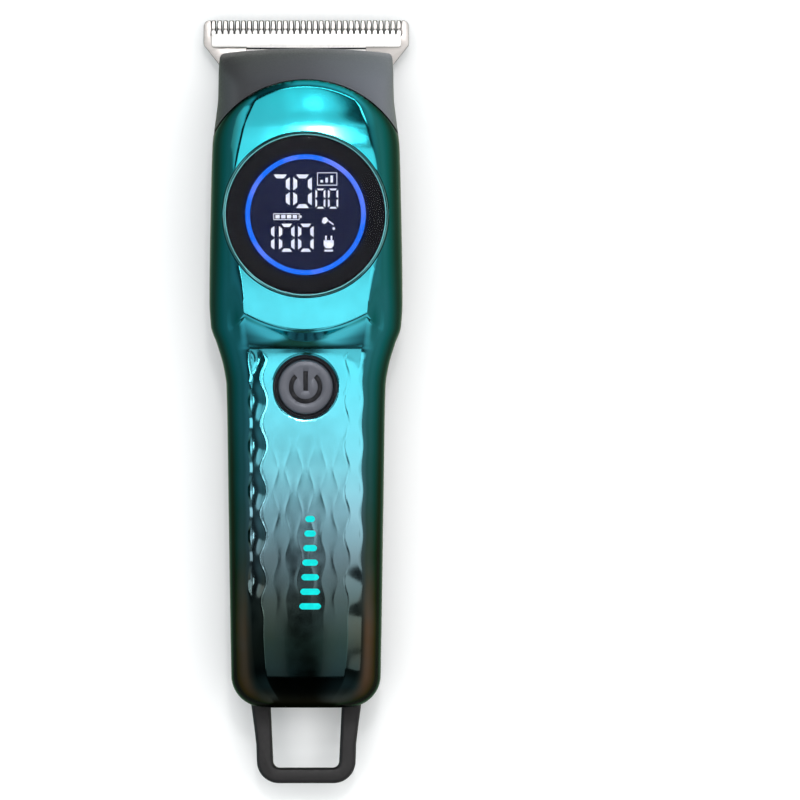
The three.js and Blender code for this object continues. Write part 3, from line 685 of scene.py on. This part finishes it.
def dense_stations(start, end, marks, step):
    """Stations from start to end, a step apart, and closer near each (place, reach, step) mark."""
    stations = [start]
    while stations[-1] < end:
        y = stations[-1]
        near = [fine for place, reach, fine in marks if abs(y - place) < reach]
        stations.append(min(y + min(near + [step]), end))
    return stations


def cover_skin(name, inset, fluted):
    """The covers' outside, or their hollow where there is an inset."""
    end = BODY_END_Y + inset
    marks, step = [(12.2, 2.6, 0.12), (62, 9, 0.35)], 2.5
    if fluted:
        marks, step = marks + [(end, 0.5, 0.08), (end, 2.5, 0.3), (-55.5, 6, 0.35)], 0.62
    rows = []
    for y in dense_stations(end, 66, marks, step):
        ring, wide, crease = section_ring(y, cover_crest, inset, fluted, side_crest)
        x, z = ring.T
        out = np.abs(x)
        fade = np.where(out <= crease, 1, (1 - np.clip((out - crease) / (wide - crease), 0, 1)) ** 2)
        shift = float(dome_bow(y)) * fade * np.minimum(out, crease) ** 2 / (2 * DOME_EDGE_R)
        shift = np.where(z > SHOULDER_Z - 3, shift, 0)
        at_y = y + shift
        depth = np.clip(ARCH_R - inset - np.hypot(x, at_y - ARCH_Y), 0, ARCH_FILLET)
        drop = ARCH_FILLET - np.sqrt(ARCH_FILLET ** 2 - (ARCH_FILLET - depth) ** 2)
        drop = drop * smooth(ARCH_Y + 5, ARCH_Y + 10, at_y)
        z = np.where((at_y > ARCH_Y + 5) & (z > SHOULDER_Z + 3), z - drop, z)
        rows.append(np.column_stack([x, at_y, z]))
    return skin(name, np.array(rows))


def neck_skin(name, inset):
    """The neck's outside, or its hollow where there is an inset."""
    end = NECK_END_Y - inset
    rows = []
    for y in dense_stations(44, end, [(end, 3, 0.25)], 1.0):
        x, z = section_ring(y, neck_crest, inset, False)[0].T
        bow = -smooth(60, NECK_END_Y, y) * (x / 17) ** 2
        rows.append(np.column_stack([x, y + bow, z]))
    return skin(name, np.array(rows))


def arch_prism(name, clearance, z0, z1):
    """Everything on the grip's side of the arch where the front cover meets the neck."""
    r = ARCH_R + clearance
    outline = [(r, -70)] + arc(0, ARCH_Y, r, 0, 180, 160) + [(-r, -70)]
    return prism(name, outline, z0, z1)


BIG = 100  # beyond every side of the clipper
SCREW_BORE_R = 1.2
PIN_BORE_R = 1.15
SCREW_PLACES = [middle_mm(f"housing_screw_{i}")[:2] for i in (1, 2, 3, 4)]
BLADE_SCREW_PLACES = [middle_mm(f"blade_screw_{side}")[:2] for side in ("left", "right")]
PIN_Y, PIN_Z = middle_mm("loop_pin")[1:]


def posts(head_z1, foot_z1, z0):
    """The four screw posts: the two at the head are thicker."""
    return [
        rod("post", 2.3 if y > 0 else 2, x, y, z0, head_z1 if y > 0 else foot_z1)
        for x, y in SCREW_PLACES
    ]


def screw_holes(places, z0, z1, steps=24):
    return [rod("screw_hole", SCREW_BORE_R, x, y, z0, z1, steps) for x, y in places]


def pill(half_x, half_y, steps=12):
    """A slot outline with round ends, centred on the origin."""
    reach = half_x - half_y
    return arc(reach, 0, half_y, -90, 90, steps) + arc(-reach, 0, half_y, 90, 270, steps)


def front_shell():
    shell = cover_skin("front_shell", 0, True)
    common(shell, block("above", -BIG, BIG, -BIG, BIG, COVER_BOTTOM_Z, BIG), arch_prism("arch", 0, 0, 60))
    cut(shell, cover_skin("hollow", WALL, False))
    join(shell, *posts(27.5, 24, COVER_BOTTOM_Z + 0.15))
    hole_r = BEZEL_R + 0.05
    top = float(front_z(0, BUTTON_Y))
    r = BUTTON_HOLE_R
    button_hole = lathe("button_hole", [
        (0, 25), (r, 25), (r, top - 0.2), (r + 0.08, top - 0.11), (r + 0.4, top + 0.01),
        (r + 0.7, top + 0.2), (0, top + 0.2),
    ], (0, BUTTON_Y), 128)
    for corner in button_hole.data.vertices:
        corner.co.z -= CROWN * (corner.co.x / MM / float(crease_half_width(BUTTON_Y))) ** 2 * MM
    port = turned(prism("port", pill(4.9, 2), -9, 9), "Y")
    cut(
        shell,
        lathe("display_hole", [(0, 25), (hole_r, 25), (hole_r, 40), (0, 40)], (0, DISPLAY_Y), 160),
        button_hole,
        moved(port, 0, -65, middle_mm("usb_shell")[2]),
        *screw_holes(SCREW_PLACES, 0, 25),
    )
    return place(shade(shell, 30), "housing", "plated_teal", PLATED, "front_cover")


def rear_shell():
    shell = cover_skin("rear_shell", 0, True)
    common(shell, block("below", -BIG, BIG, -BIG, REAR_END_Y, -BIG, REAR_TOP_Z))
    cut(shell, cover_skin("hollow", WALL, False))
    cell_z = middle_mm("battery_cell")[2]
    for y in (-38, -12):
        rib = block("rib", -8.5, 8.5, y - 1, y + 1, 1.5, 5.5)
        bore = turned(rod("bore", 9.3, 0, 0, -5, 5), "Y")
        join(shell, cut(rib, moved(bore, 0, y, cell_z)))
    join(shell, *posts(REAR_TOP_Z - 0.15, REAR_TOP_Z - 0.15, 1))
    join(shell, *[block("lug", x - 1.5, x + 1.5, -59.5, -54.8, 1.5, 11.5) for x in (5.1, -5.1)])
    recess = [(0, -1), (3.0, -1), (2.2, 0.7), (2.2, 2.6), (0, 2.6)]
    cut(
        shell,
        *[block("slot", x - 2.4, x + 2.4, -70, -57.3, 4.8, 16) for x in (9.2, -9.2)],
        moved(turned(rod("pin_bore", PIN_BORE_R, 0, 0, -12, 12), "X"), 0, PIN_Y, PIN_Z),
        *screw_holes(SCREW_PLACES, -1, 20),
        *[lathe("recess", recess, centre, 64) for centre in SCREW_PLACES],
    )
    return place(shade(shell, 30), "housing", "satin_black", REAR_BLACK, "rear_cover")


def neck():
    frame_piece = neck_skin("neck", 0)
    common(frame_piece, block("ahead", -BIG, BIG, REAR_END_Y + 0.3, BIG, -BIG, BIG))
    cut(frame_piece, arch_prism("arch", 0.3, REAR_TOP_Z, 60), neck_skin("hollow", WALL))
    motor_front = node_mm("motor_can")[1][1] - 1.5
    wall = block("bulkhead", -15.5, 15.5, motor_front + 0.3, motor_front + 2.3, 2, 25.5)
    join(frame_piece, common(wall, cover_skin("inside", WALL + 0.6, False)))
    for x in (13.65, -13.65):
        join(
            frame_piece,
            block("arm", x - 1.35, x + 1.35, motor_front + 1, 52, 9.6, 14.4),
            block("arm_foot", x - 1.35, x + 1.35, 48, 52, 8, 14.4),
        )
    join(frame_piece, *[rod("boss", 2.4, x, y, 8, 12.5) for x, y in BLADE_SCREW_PLACES])
    join(frame_piece, block("spring_stop", -3, 3, 54.4, 55.3, 8, 10.4))
    shaft_z = middle_mm("motor_shaft")[2]
    cut(
        frame_piece,
        block("window", -13.6, 13.6, 56.8, 80, 0, 8.9),
        *[
            moved(turned(rod("bore", r, 0, 0, -4, 4), "Y"), x, 42, shaft_z)
            for x, r in ((0, 3.5), (6.5, SCREW_BORE_R), (-6.5, SCREW_BORE_R))
        ],
        *screw_holes(BLADE_SCREW_PLACES, 0, 11.5),
    )
    return place(shade(frame_piece, 32), "housing", "satin_grey", NECK, "head_frame")


# ---- Display --------------------------------------------------------------------------------
def display():
    low, high = BEZEL_LOW[2], BEZEL_HIGH[2]
    centre = (0, DISPLAY_Y)
    outer = BEZEL_R - 0.12
    bezel = lathe("bezel_ring", [
        (14.8, low), (outer - 0.1, low), (outer, low + 0.1), (outer, high - 0.2),
        (outer - 0.06, high - 0.06), (outer - 0.16, high), (outer - 0.28, high - 0.05),
        (outer - 0.36, high - 0.3), (outer - 0.4, high - 1.6), (14.8, high - 1.6),
    ], centre, 192)
    place(shade(bezel), "housing", "plated_teal", BEZEL_METAL, "display_bezel")
    (_, _, low), (r, _, high) = node_mm("display_lens")
    glass = lathe("lens_disc", [
        (0, low), (r - 0.15, low), (r, low + 0.15), (r, high - 0.3), (r - 0.08, high - 0.1),
        (r - 0.3, high - 0.01), (r - 0.6, high), (0, high),
    ], centre, 192)
    place(shade(glass), "housing", "dark_glass", GLASS, "display_lens")
    border_r, border_z = 12.6, low - 0.08
    border = lathe("lens_border", [
        (border_r, border_z - 0.12), (r - 0.05, border_z - 0.12), (r - 0.02, border_z),
        (border_r, border_z),
    ], centre, 160)
    place(shade(border), "housing", "black_plastic", BORDER_BLACK)
    (_, _, low), (r, _, face_z) = node_mm("display_module")
    face = lathe("display_face", [
        (0, low), (r, low), (r, face_z - 0.3), (r - 0.3, face_z), (0, face_z),
    ], centre, 128)
    place(shade(face), "housing", "black_plastic", FACE_BLACK, "display_module")
    (_, _, low), (r, _, high) = node_mm("light_ring")
    width = 0.95
    ring = lathe("glow_ring", [
        (r - width, low), (r, low), (r, high - 0.25), (r - 0.2, high - 0.05), (r - width / 2, high),
        (r - width + 0.2, high - 0.05), (r - width, high - 0.25),
    ], centre, 192)
    place(shade(ring), "housing", "blue_light", BLUE_GLOW, "light_ring")
    digits(face_z)


SEGMENTS = {
    "top": (0.5, 1, True), "upper_left": (0, 0.75, False), "upper_right": (1, 0.75, False),
    "lower_left": (0, 0.25, False), "lower_right": (1, 0.25, False), "bottom": (0.5, 0, True),
}
SHAPES = {
    "0": ["top", "upper_left", "upper_right", "lower_left", "lower_right", "bottom"],
    "1": ["upper_right", "lower_right"],
    "7": ["top", "upper_right", "lower_right"],
}


def segment_outline(x, y, long, thick, flat, side):
    """A tapered bar, lying or standing: its longer edge is the digit's outer one."""
    half, t = long / 2, thick / 2
    short = half - 0.75 * thick
    points = [(-half, side * t), (half, side * t), (short, -side * t), (-short, -side * t)]
    return [(x + a, y + b) if flat else (x + b, y + a) for a, b in points]


def digit_outlines(shape, x, y, width, height, thick):
    """The lit bars of one digit whose lower left corner is (x, y)."""
    outlines = []
    for part in SHAPES[shape]:
        across, up, flat = SEGMENTS[part]
        long = (width - thick * 1.5) if flat else (height / 2 - thick * 0.95)
        px = x + thick / 2 + across * (width - thick)
        py = y + thick / 2 + up * (height - thick)
        side = math.copysign(1, (up if flat else across) - 0.5)
        outlines.append(segment_outline(px, py, long, thick, flat, side))
    return outlines


def digits(face_z):
    """The lit figures and plain icons under the lens, relative to the display's centre."""
    outlines = []
    for shape, x, y, width, height, thick in (
        ("7", -6.95, 1.3, 3.8, 6.7, 0.78), ("0", -2.45, 1.3, 3.7, 6.7, 0.78),
        ("0", 1.95, 1.2, 2.0, 4.0, 0.36), ("0", 4.45, 1.2, 2.05, 4.0, 0.36),
        ("1", -9.3, -7.4, 3.1, 5.6, 0.66), ("0", -5.3, -7.4, 3.1, 5.6, 0.66),
        ("0", -1.5, -7.4, 3.1, 5.6, 0.66),
    ):
        outlines += digit_outlines(shape, x, y, width, height, thick)
    outlines += frame_bars(2.3, 6.3, 5.8, 8.4, 0.14)
    outlines += [bar_outline(2.95 + 1.0 * i, 6.4, 0.5, 0.5 + 0.45 * i) for i in range(3)]
    outlines += frame_bars(-6.4, -1.2, -1.05, 0.25, 0.14)
    outlines += [bar_outline(-6.0 + 1.15 * i, -0.75, 0.85, 0.7) for i in range(4)]
    outlines.append(bar_outline(-1.1, -0.65, 0.3, 0.5))
    outlines += plug_icon(4.6, -6.0)
    outlines += drop_icon(4.2, -1.4)
    placed = [[(x, DISPLAY_Y + y) for x, y in outline] for outline in outlines]
    lit = rounded(prisms("display_digits", placed, face_z + 0.02, face_z + 0.16), 0.03, 1)
    place(shade(lit), "housing", "white_plastic", WHITE_GLOW)


def bar_outline(x, y, width, height):
    return [(x, y), (x + width, y), (x + width, y + height), (x, y + height)]


def frame_bars(x0, x1, y0, y1, thick):
    """The four sides of a thin rectangle, just clear of each other."""
    gap = 0.01
    return [
        bar_outline(x0, y0, x1 - x0, thick), bar_outline(x0, y1 - thick, x1 - x0, thick),
        bar_outline(x0, y0 + thick + gap, thick, y1 - y0 - 2 * (thick + gap)),
        bar_outline(x1 - thick, y0 + thick + gap, thick, y1 - y0 - 2 * (thick + gap)),
    ]


def plug_icon(x, y):
    body = [
        (x - 1.0, y + 0.9), (x - 1.0, y - 0.1), (x - 0.55, y - 0.7), (x + 0.55, y - 0.7),
        (x + 1.0, y - 0.1), (x + 1.0, y + 0.9),
    ]
    prongs = [bar_outline(x + side - 0.17, y + 0.95, 0.34, 0.85) for side in (-0.55, 0.55)]
    return [body, *prongs, bar_outline(x - 0.85, y - 1.35, 1.7, 0.38)]


def drop_icon(x, y):
    """A small bottle lying over, and the drop that falls from it."""
    body = [
        (x - 1.0, y - 0.1), (x - 0.7, y + 0.75), (x - 0.1, y + 0.9), (x + 0.4, y + 0.25),
        (x - 0.4, y - 0.5),
    ]
    spout = [(x + 0.5, y + 0.2), (x + 0.35, y + 0.0), (x + 1.3, y - 0.7), (x + 1.45, y - 0.5)]
    return [body, spout, arc(x + 1.4, y - 1.35, 0.28, 0, 337.5, 15)]


# ---- Button ---------------------------------------------------------------------------------
MARK_R = 3.3
MARK_STROKE = 0.85


def mark_outlines(extra):
    """The power symbol's open ring and its bar, grown by extra on every side."""
    outer, inner = MARK_R + extra, MARK_R - MARK_STROKE - extra
    ring = arc(0, BUTTON_Y, outer, 132, 408, 60) + arc(0, BUTTON_Y, inner, 408, 132, 60)
    half = MARK_STROKE / 2 + extra
    return ring, bar_outline(-half, BUTTON_Y - 0.7 - extra, 2 * half, 3.8 + 2 * extra)


def button():
    low, high = BUTTON_LOW[2], BUTTON_HIGH[2]
    r = BUTTON_R
    flange = (BUTTON_HIGH[0] - BUTTON_LOW[0]) / 2
    cap = lathe("button_cap", [
        (0, low), (flange - 0.1, low), (flange, low + 0.1), (flange, low + 0.9),
        (flange - 0.1, low + 1), (r, low + 1), (r, high - 0.34), (r - 0.05, high - 0.24),
        (r - 0.24, high - 0.05), (r - 0.36, high), (r - 1.3, high - 0.03), (r - 3, high - 0.1),
        (0, high - 0.13),
    ], (0, BUTTON_Y), 128)
    for outline in mark_outlines(0.05):
        cut(cap, prism("groove", outline, high - 0.45, high + 1))
    rounded(cap, 0.07, 2, 50)
    place(shade(cap, 28), "button", "satin_grey", BUTTON_GREY, "power_button")
    ring, bar = [
        rounded(prism("power_mark", outline, high - 0.44, high - 0.3), 0.04, 2)
        for outline in mark_outlines(0)
    ]
    place(shade(join(ring, bar)), "button", "black_plastic", GAP_BLACK)
    (_, _, low), (r, _, high) = node_mm("button_gasket")
    gasket = lathe("gasket_ring", [
        (r - 0.4, low), (r, low), (r, high - 0.15), (r - 0.1, high - 0.03), (r - 0.2, high),
        (r - 0.3, high - 0.03), (r - 0.4, high - 0.15),
    ], (0, BUTTON_Y), 128)
    place(shade(gasket), "housing", "black_plastic", GAP_BLACK, "button_gasket")


# ---- Blades ---------------------------------------------------------------------------------
TOOTH_PITCH = 1.2
TOOTH_COUNT = 32
TOOTH_FLANK = 0.24


def teeth(y0, y1, z0, z1, width, tip_width, tip_drop):
    """A row of tapered teeth that start inside the plate at y0 and end at y1."""
    bend = y1 - 0.35 * (y1 - y0)
    sections = [
        (y0, width / 2, z1, z0), (bend, width / 2 - 0.02, z1, z0),
        (y1 - 0.14, tip_width, z1 - tip_drop * 0.3, z0 + 0.08),
        (y1, tip_width * 0.55, z1 - tip_drop, z0 + 0.2),
    ]
    verts, faces = [], []
    for i in range(TOOTH_COUNT):
        x = (i - (TOOTH_COUNT - 1) / 2) * TOOTH_PITCH
        faces += bar_faces(len(verts), len(sections))
        for y, half, top, under in sections:
            foot = half + TOOTH_FLANK
            verts += [(x - foot, y, under), (x + foot, y, under), (x + half, y, top), (x - half, y, top)]
    return new_object("teeth", verts, faces)


def fixed_blade():
    low, high = node_mm("fixed_blade")
    wide, tail, corner = high[0], 12.0, 1.3
    root = TIP_Y - 2.1
    lobe = wide - 1.5
    outline = [(tail, low[1] + 0.6), (tail, 60.5)]
    outline += [(wide - 0.5, 70.9)] + arc(wide - 1.2, 71.9, 1.2, -35, 0, 6)
    outline += arc(wide - corner, TIP_Y - corner, corner, 0, 90, 10)
    outline += [(lobe, TIP_Y - 0.05), (lobe - 0.15, root + 0.2), (lobe - 0.4, root)]
    outline = [(tail - 0.6, low[1])] + outline
    outline += [(-x, y) for x, y in reversed(outline)]
    blade = prism("fixed_comb_blade", outline, low[2], high[2])
    rounded(blade, 0.18, 2, 60)
    join(blade, teeth(root - 0.4, TIP_Y - 0.02, low[2] + 0.02, high[2] - 0.03, 0.64, 0.22, 0.5))
    cut(blade, *screw_holes(BLADE_SCREW_PLACES, 0, 20, 40))
    return place(shade(blade, 25), "housing", "brushed_steel", BLADE_GROUND, "fixed_blade")


def cutter_blade():
    low, high = node_mm("moving_blade")
    wide, tail = high[0], 12.0
    heel, root = 71.1, high[1] - 1.05
    outline = [
        (-tail + 0.5, low[1]), (tail - 0.5, low[1]), (tail, low[1] + 0.5), (tail, heel),
        (wide - 0.3, heel), (wide, heel + 0.3), (wide, root),
    ]
    outline += [(-x, y) for x, y in reversed(outline[2:])]
    blade = prism("cutter_blade", outline, low[2], high[2])
    rounded(blade, 0.12, 2, 60)
    join(blade, teeth(root - 0.3, high[1], low[2] + 0.02, high[2] - 0.03, 0.72, 0.16, 0.55))
    notch = [(-0.2, 0.15), (0.2, 0.15), (0, -0.4)]
    groove = turned(prism("heel_groove", notch, -tail - 0.5, tail + 0.5), "X")
    groove.data.transform(Matrix.Rotation(math.pi / 2, 4, "X"))
    cut(blade, moved(groove, 0, heel - 0.3, high[2] - 0.1))
    cut(blade, *screw_holes(((8, 65), (-8, 65)), 0, 20, 40))
    return place(shade(blade, 25), "cutter", "polished_steel", BLADE_POLISHED, "moving_blade")


# ---- Loop, screws and print -----------------------------------------------------------------
def hanging_loop():
    outer, inner, thick = 4.4, 1.3, 1.8
    bar_y = LOOP_END_Y + 3.1
    right = [
        (7.3, PIN_Y), (10.9, PIN_Y), (11.1, -60.2), (10.4, -65.4), (10.0, -68.7),
        (9.9, LOOP_END_Y + outer),
    ]
    right += arc(9.9 - outer, LOOP_END_Y + outer, outer, 0, -90, 14)[1:]
    left = [(-x, y) for x, y in reversed(right)]
    hollow = [(-7.1, -61)] + arc(-6.6 + inner, bar_y + inner, inner, 180, 270, 8)
    hollow += [(-x, y) for x, y in reversed(hollow)]
    loop = prism("loop", right + left + hollow, PIN_Z - thick, PIN_Z + thick)
    rounded(loop, 0.7, 5, 35)
    eye = [(0, -1.8), (1.9, -1.8), (2.2, -1.5), (2.2, 1.5), (1.9, 1.8), (0, 1.8)]
    for x in (9.1, -9.1):
        join(loop, moved(turned(lathe("eye", eye), "X"), x, PIN_Y, PIN_Z))
    cut(loop, moved(turned(rod("bore", PIN_BORE_R, 0, 0, -20, 20), "X"), 0, PIN_Y, PIN_Z))
    return place(shade(loop, 32), "loop", "satin_black", SATIN_BLACK, "hanging_loop")


def screw(name, node, head_r, head_thick):
    """A pan-head screw, head down, with a crossed recess."""
    x, y = middle_mm(node)[:2]
    (_, _, z), (_, _, end) = node_mm(node)
    shank, pitch, neck_z = 1.0, 0.5, z + head_thick
    profile = [(0, z), (head_r - 0.5, z), (head_r - 0.2, z + 0.12), (head_r, z + 0.45)]
    profile += [(head_r, neck_z), (shank, neck_z)]
    for i in range(int((end - neck_z) / pitch)):
        level = neck_z + pitch * i
        profile += [(shank - 0.14, level + 0.12), (shank, level + 0.3)]
    profile += [(shank - 0.3, end - 0.05), (0, end)]
    made = lathe(name, profile, (x, y), 40)
    for turn in (0, 90):
        arm = block("recess", -head_r * 0.62, head_r * 0.62, -0.24, 0.24, -1, 0.55)
        arm.data.transform(Matrix.Rotation(math.radians(turn), 4, "Z"))
        cut(made, moved(arm, x, y, z))
    return place(shade(made, 30), "housing", "brushed_steel", SCREW_STEEL, node)


def grip_print():
    """Plain bars of growing length, printed along the middle of the grip in a cyan that glows as painted
    light.
    """
    verts, faces = [], []
    steps, bars, first_y, pitch, half_h, middle = 14, 7, -23.4, 2.9, 0.62, 0.9
    for b in range(bars):
        y = first_y - b * pitch
        half_w = 0.95 + 0.2 * b
        faces += bar_faces(len(verts), steps + 1)
        for i in range(steps + 1):
            x = middle - half_w + 2 * half_w * i / steps
            edge = max(half_w - abs(x - middle), 0.02)
            half = half_h * min(1, math.sqrt(max(1 - max(1 - edge / half_h, 0) ** 2, 0.01)))
            for dy, lift in ((-half, 0.06), (half, 0.06), (half, -0.08), (-half, -0.08)):
                verts.append((x, y + dy, front_z(x, y + dy) + lift))
    place(shade(new_object("grip_print", verts, faces)), "housing", "white_plastic", PAINTED_GLOW_CYAN_PRINT)


# ---- Camera, light and floor ----------------------------------------------------------------
def camera():
    """Straight above, at the photograph's framing: the clipper stands left of the middle."""
    span, distance, plane_z = 160.0, 3200.0, 17.0
    data = bpy.data.cameras.new("camera")
    data.sensor_width = 36
    data.lens = data.sensor_width * distance / span
    data.clip_end = 20
    made = bpy.data.objects.new("camera", data)
    made.location = Vector((18.8, 0.3, plane_z + distance)) * MM
    bpy.context.scene.collection.objects.link(made)
    bpy.context.scene.camera = made


def softbox(name, place_m, size, watts, glossy=True, turn=0, aimed=False):
    """A rectangular light that faces down, or at the clipper where it is aimed.

    One that isn't glossy never shows in a reflection.
    """
    data = bpy.data.lights.new(name, "AREA")
    data.shape = "RECTANGLE"
    data.size, data.size_y = size
    data.energy = watts
    made = bpy.data.objects.new(name, data)
    made.location = place_m
    made.rotation_euler = (0, 0, math.radians(turn))
    if aimed:
        made.rotation_euler = (-Vector(place_m)).to_track_quat("-Z", "Y").to_euler()
    made.visible_glossy = glossy
    made.visible_camera = False
    bpy.context.scene.collection.objects.link(made)


def room_light(tree):
    """A room that is dark overhead, lit round the horizon and dim below it.

    It has a dark doorway at the foot end and a dark alcove beyond the head.
    """
    room = Nodes(tree)
    direction = room.add("ShaderNodeTexCoord").outputs["Generated"]

    def ramp(axis, *stops):
        share = room.range(room.axis(direction, axis), 0, 1, -1, 1)
        return room.ramp(share, [((at + 1) / 2, (*color, 1)) for at, color in stops])

    def combined(operation, first, second):
        made = room.add("ShaderNodeVectorMath", operation=operation)
        room.link(first, made.inputs[0])
        room.link(second, made.inputs[1])
        return made.outputs[0]

    def grey(level):
        return (level, level, level)

    white, black, brown = grey(1), grey(0), (0.13, 0.1, 0.06)
    height = ramp(
        "Z", (-1, (0.42, 0.42, 0.3)), (-0.6, (0.6, 0.62, 0.5)), (-0.15, grey(0.8)), (0.05, grey(0.9)),
        (0.3, grey(0.8)), (0.8, grey(0.05)),
    )
    light = combined("MULTIPLY", height, ramp("X", (-1, (0.45, 0.62, 0.68)), (1, (0.95, 0.98, 0.96))))
    doorway = ramp("X", (-0.2, white), (-0.13, brown), (0.05, brown), (0.12, white))
    alcove = ramp("X", (-0.6, white), (-0.5, grey(0.12)), (-0.22, grey(0.12)), (-0.1, white))
    for dark, elsewhere in (
        (doorway, ramp("Y", (-0.3, black), (-0.1, white))),
        (alcove, ramp("Y", (0.2, white), (0.4, black))),
    ):
        light = combined("MULTIPLY", light, combined("MAXIMUM", dark, elsewhere))
    room.link(light, tree.nodes["Background"].inputs["Color"])


def studio():
    floor = block("floor", -3000, 3000, -3000, 3000, -20, -0.4)
    floor.data.materials.append(grained("pale_floor", (0.9, 0.9, 0.9, 1), 0.8, 40, 0.01, 0.02))
    floor.visible_glossy = False
    world = bpy.data.worlds.new("world")
    bpy.context.scene.world = world
    world.use_nodes = True
    room_light(world.node_tree)
    softbox("head_box", (0.0, 0.08, 1.35), (0.66, 0.26), 0.7)
    softbox("head_box_left", (-0.105, 0.33, 1.35), (0.45, 0.24), 0.44)
    softbox("upper_box", (-0.12, 0.62, 1.35), (0.5, 0.5), 0.8, turn=24)
    softbox("left_strip", (-0.2, -0.46, 1.35), (0.2, 0.8), 0.3)
    softbox("right_strip", (0.17, -0.46, 1.35), (0.2, 0.8), 0.4)
    softbox("hot_spot", (0.04, 0.365, 1.3), (0.08, 0.12), 2.4)
    softbox("edge_strip", (-0.46, -0.06, 1.35), (0.1, 0.42), 0.6)
    softbox("right_box", (0.85, 0.02, 1.35), (1.1, 0.56), 2.4)
    softbox("rim_strip", (0.3, 0.96, 1.3), (1.1, 0.2), 2.6)
    softbox("left_wing", (-1.5, 0.8, 0.9), (1.0, 1.4), 3.6, aimed=True)
    softbox("fill", (0, 0, 2.4), (3, 3), 66, glossy=False)
    bpy.context.scene.view_settings.view_transform = "Standard"


camera()
studio()
front_shell()
rear_shell()
neck()
display()
button()
fixed_blade()
cutter_blade()
hanging_loop()
for number in (1, 2, 3, 4):
    screw(f"case_screw_{number}", f"housing_screw_{number}", 1.9, 1.5)
for side in ("left", "right"):
    screw(f"comb_screw_{side}", f"blade_screw_{side}", 1.9, 1.1)
grip_print()

for part in frame["record"]["subparts"]:
    node = frame["nodes"][part["node"]]
    if not node.hide_render:
        for slot in node.material_slots:
            slot.material = SLOT_LOOKS[part["material_slot"]]
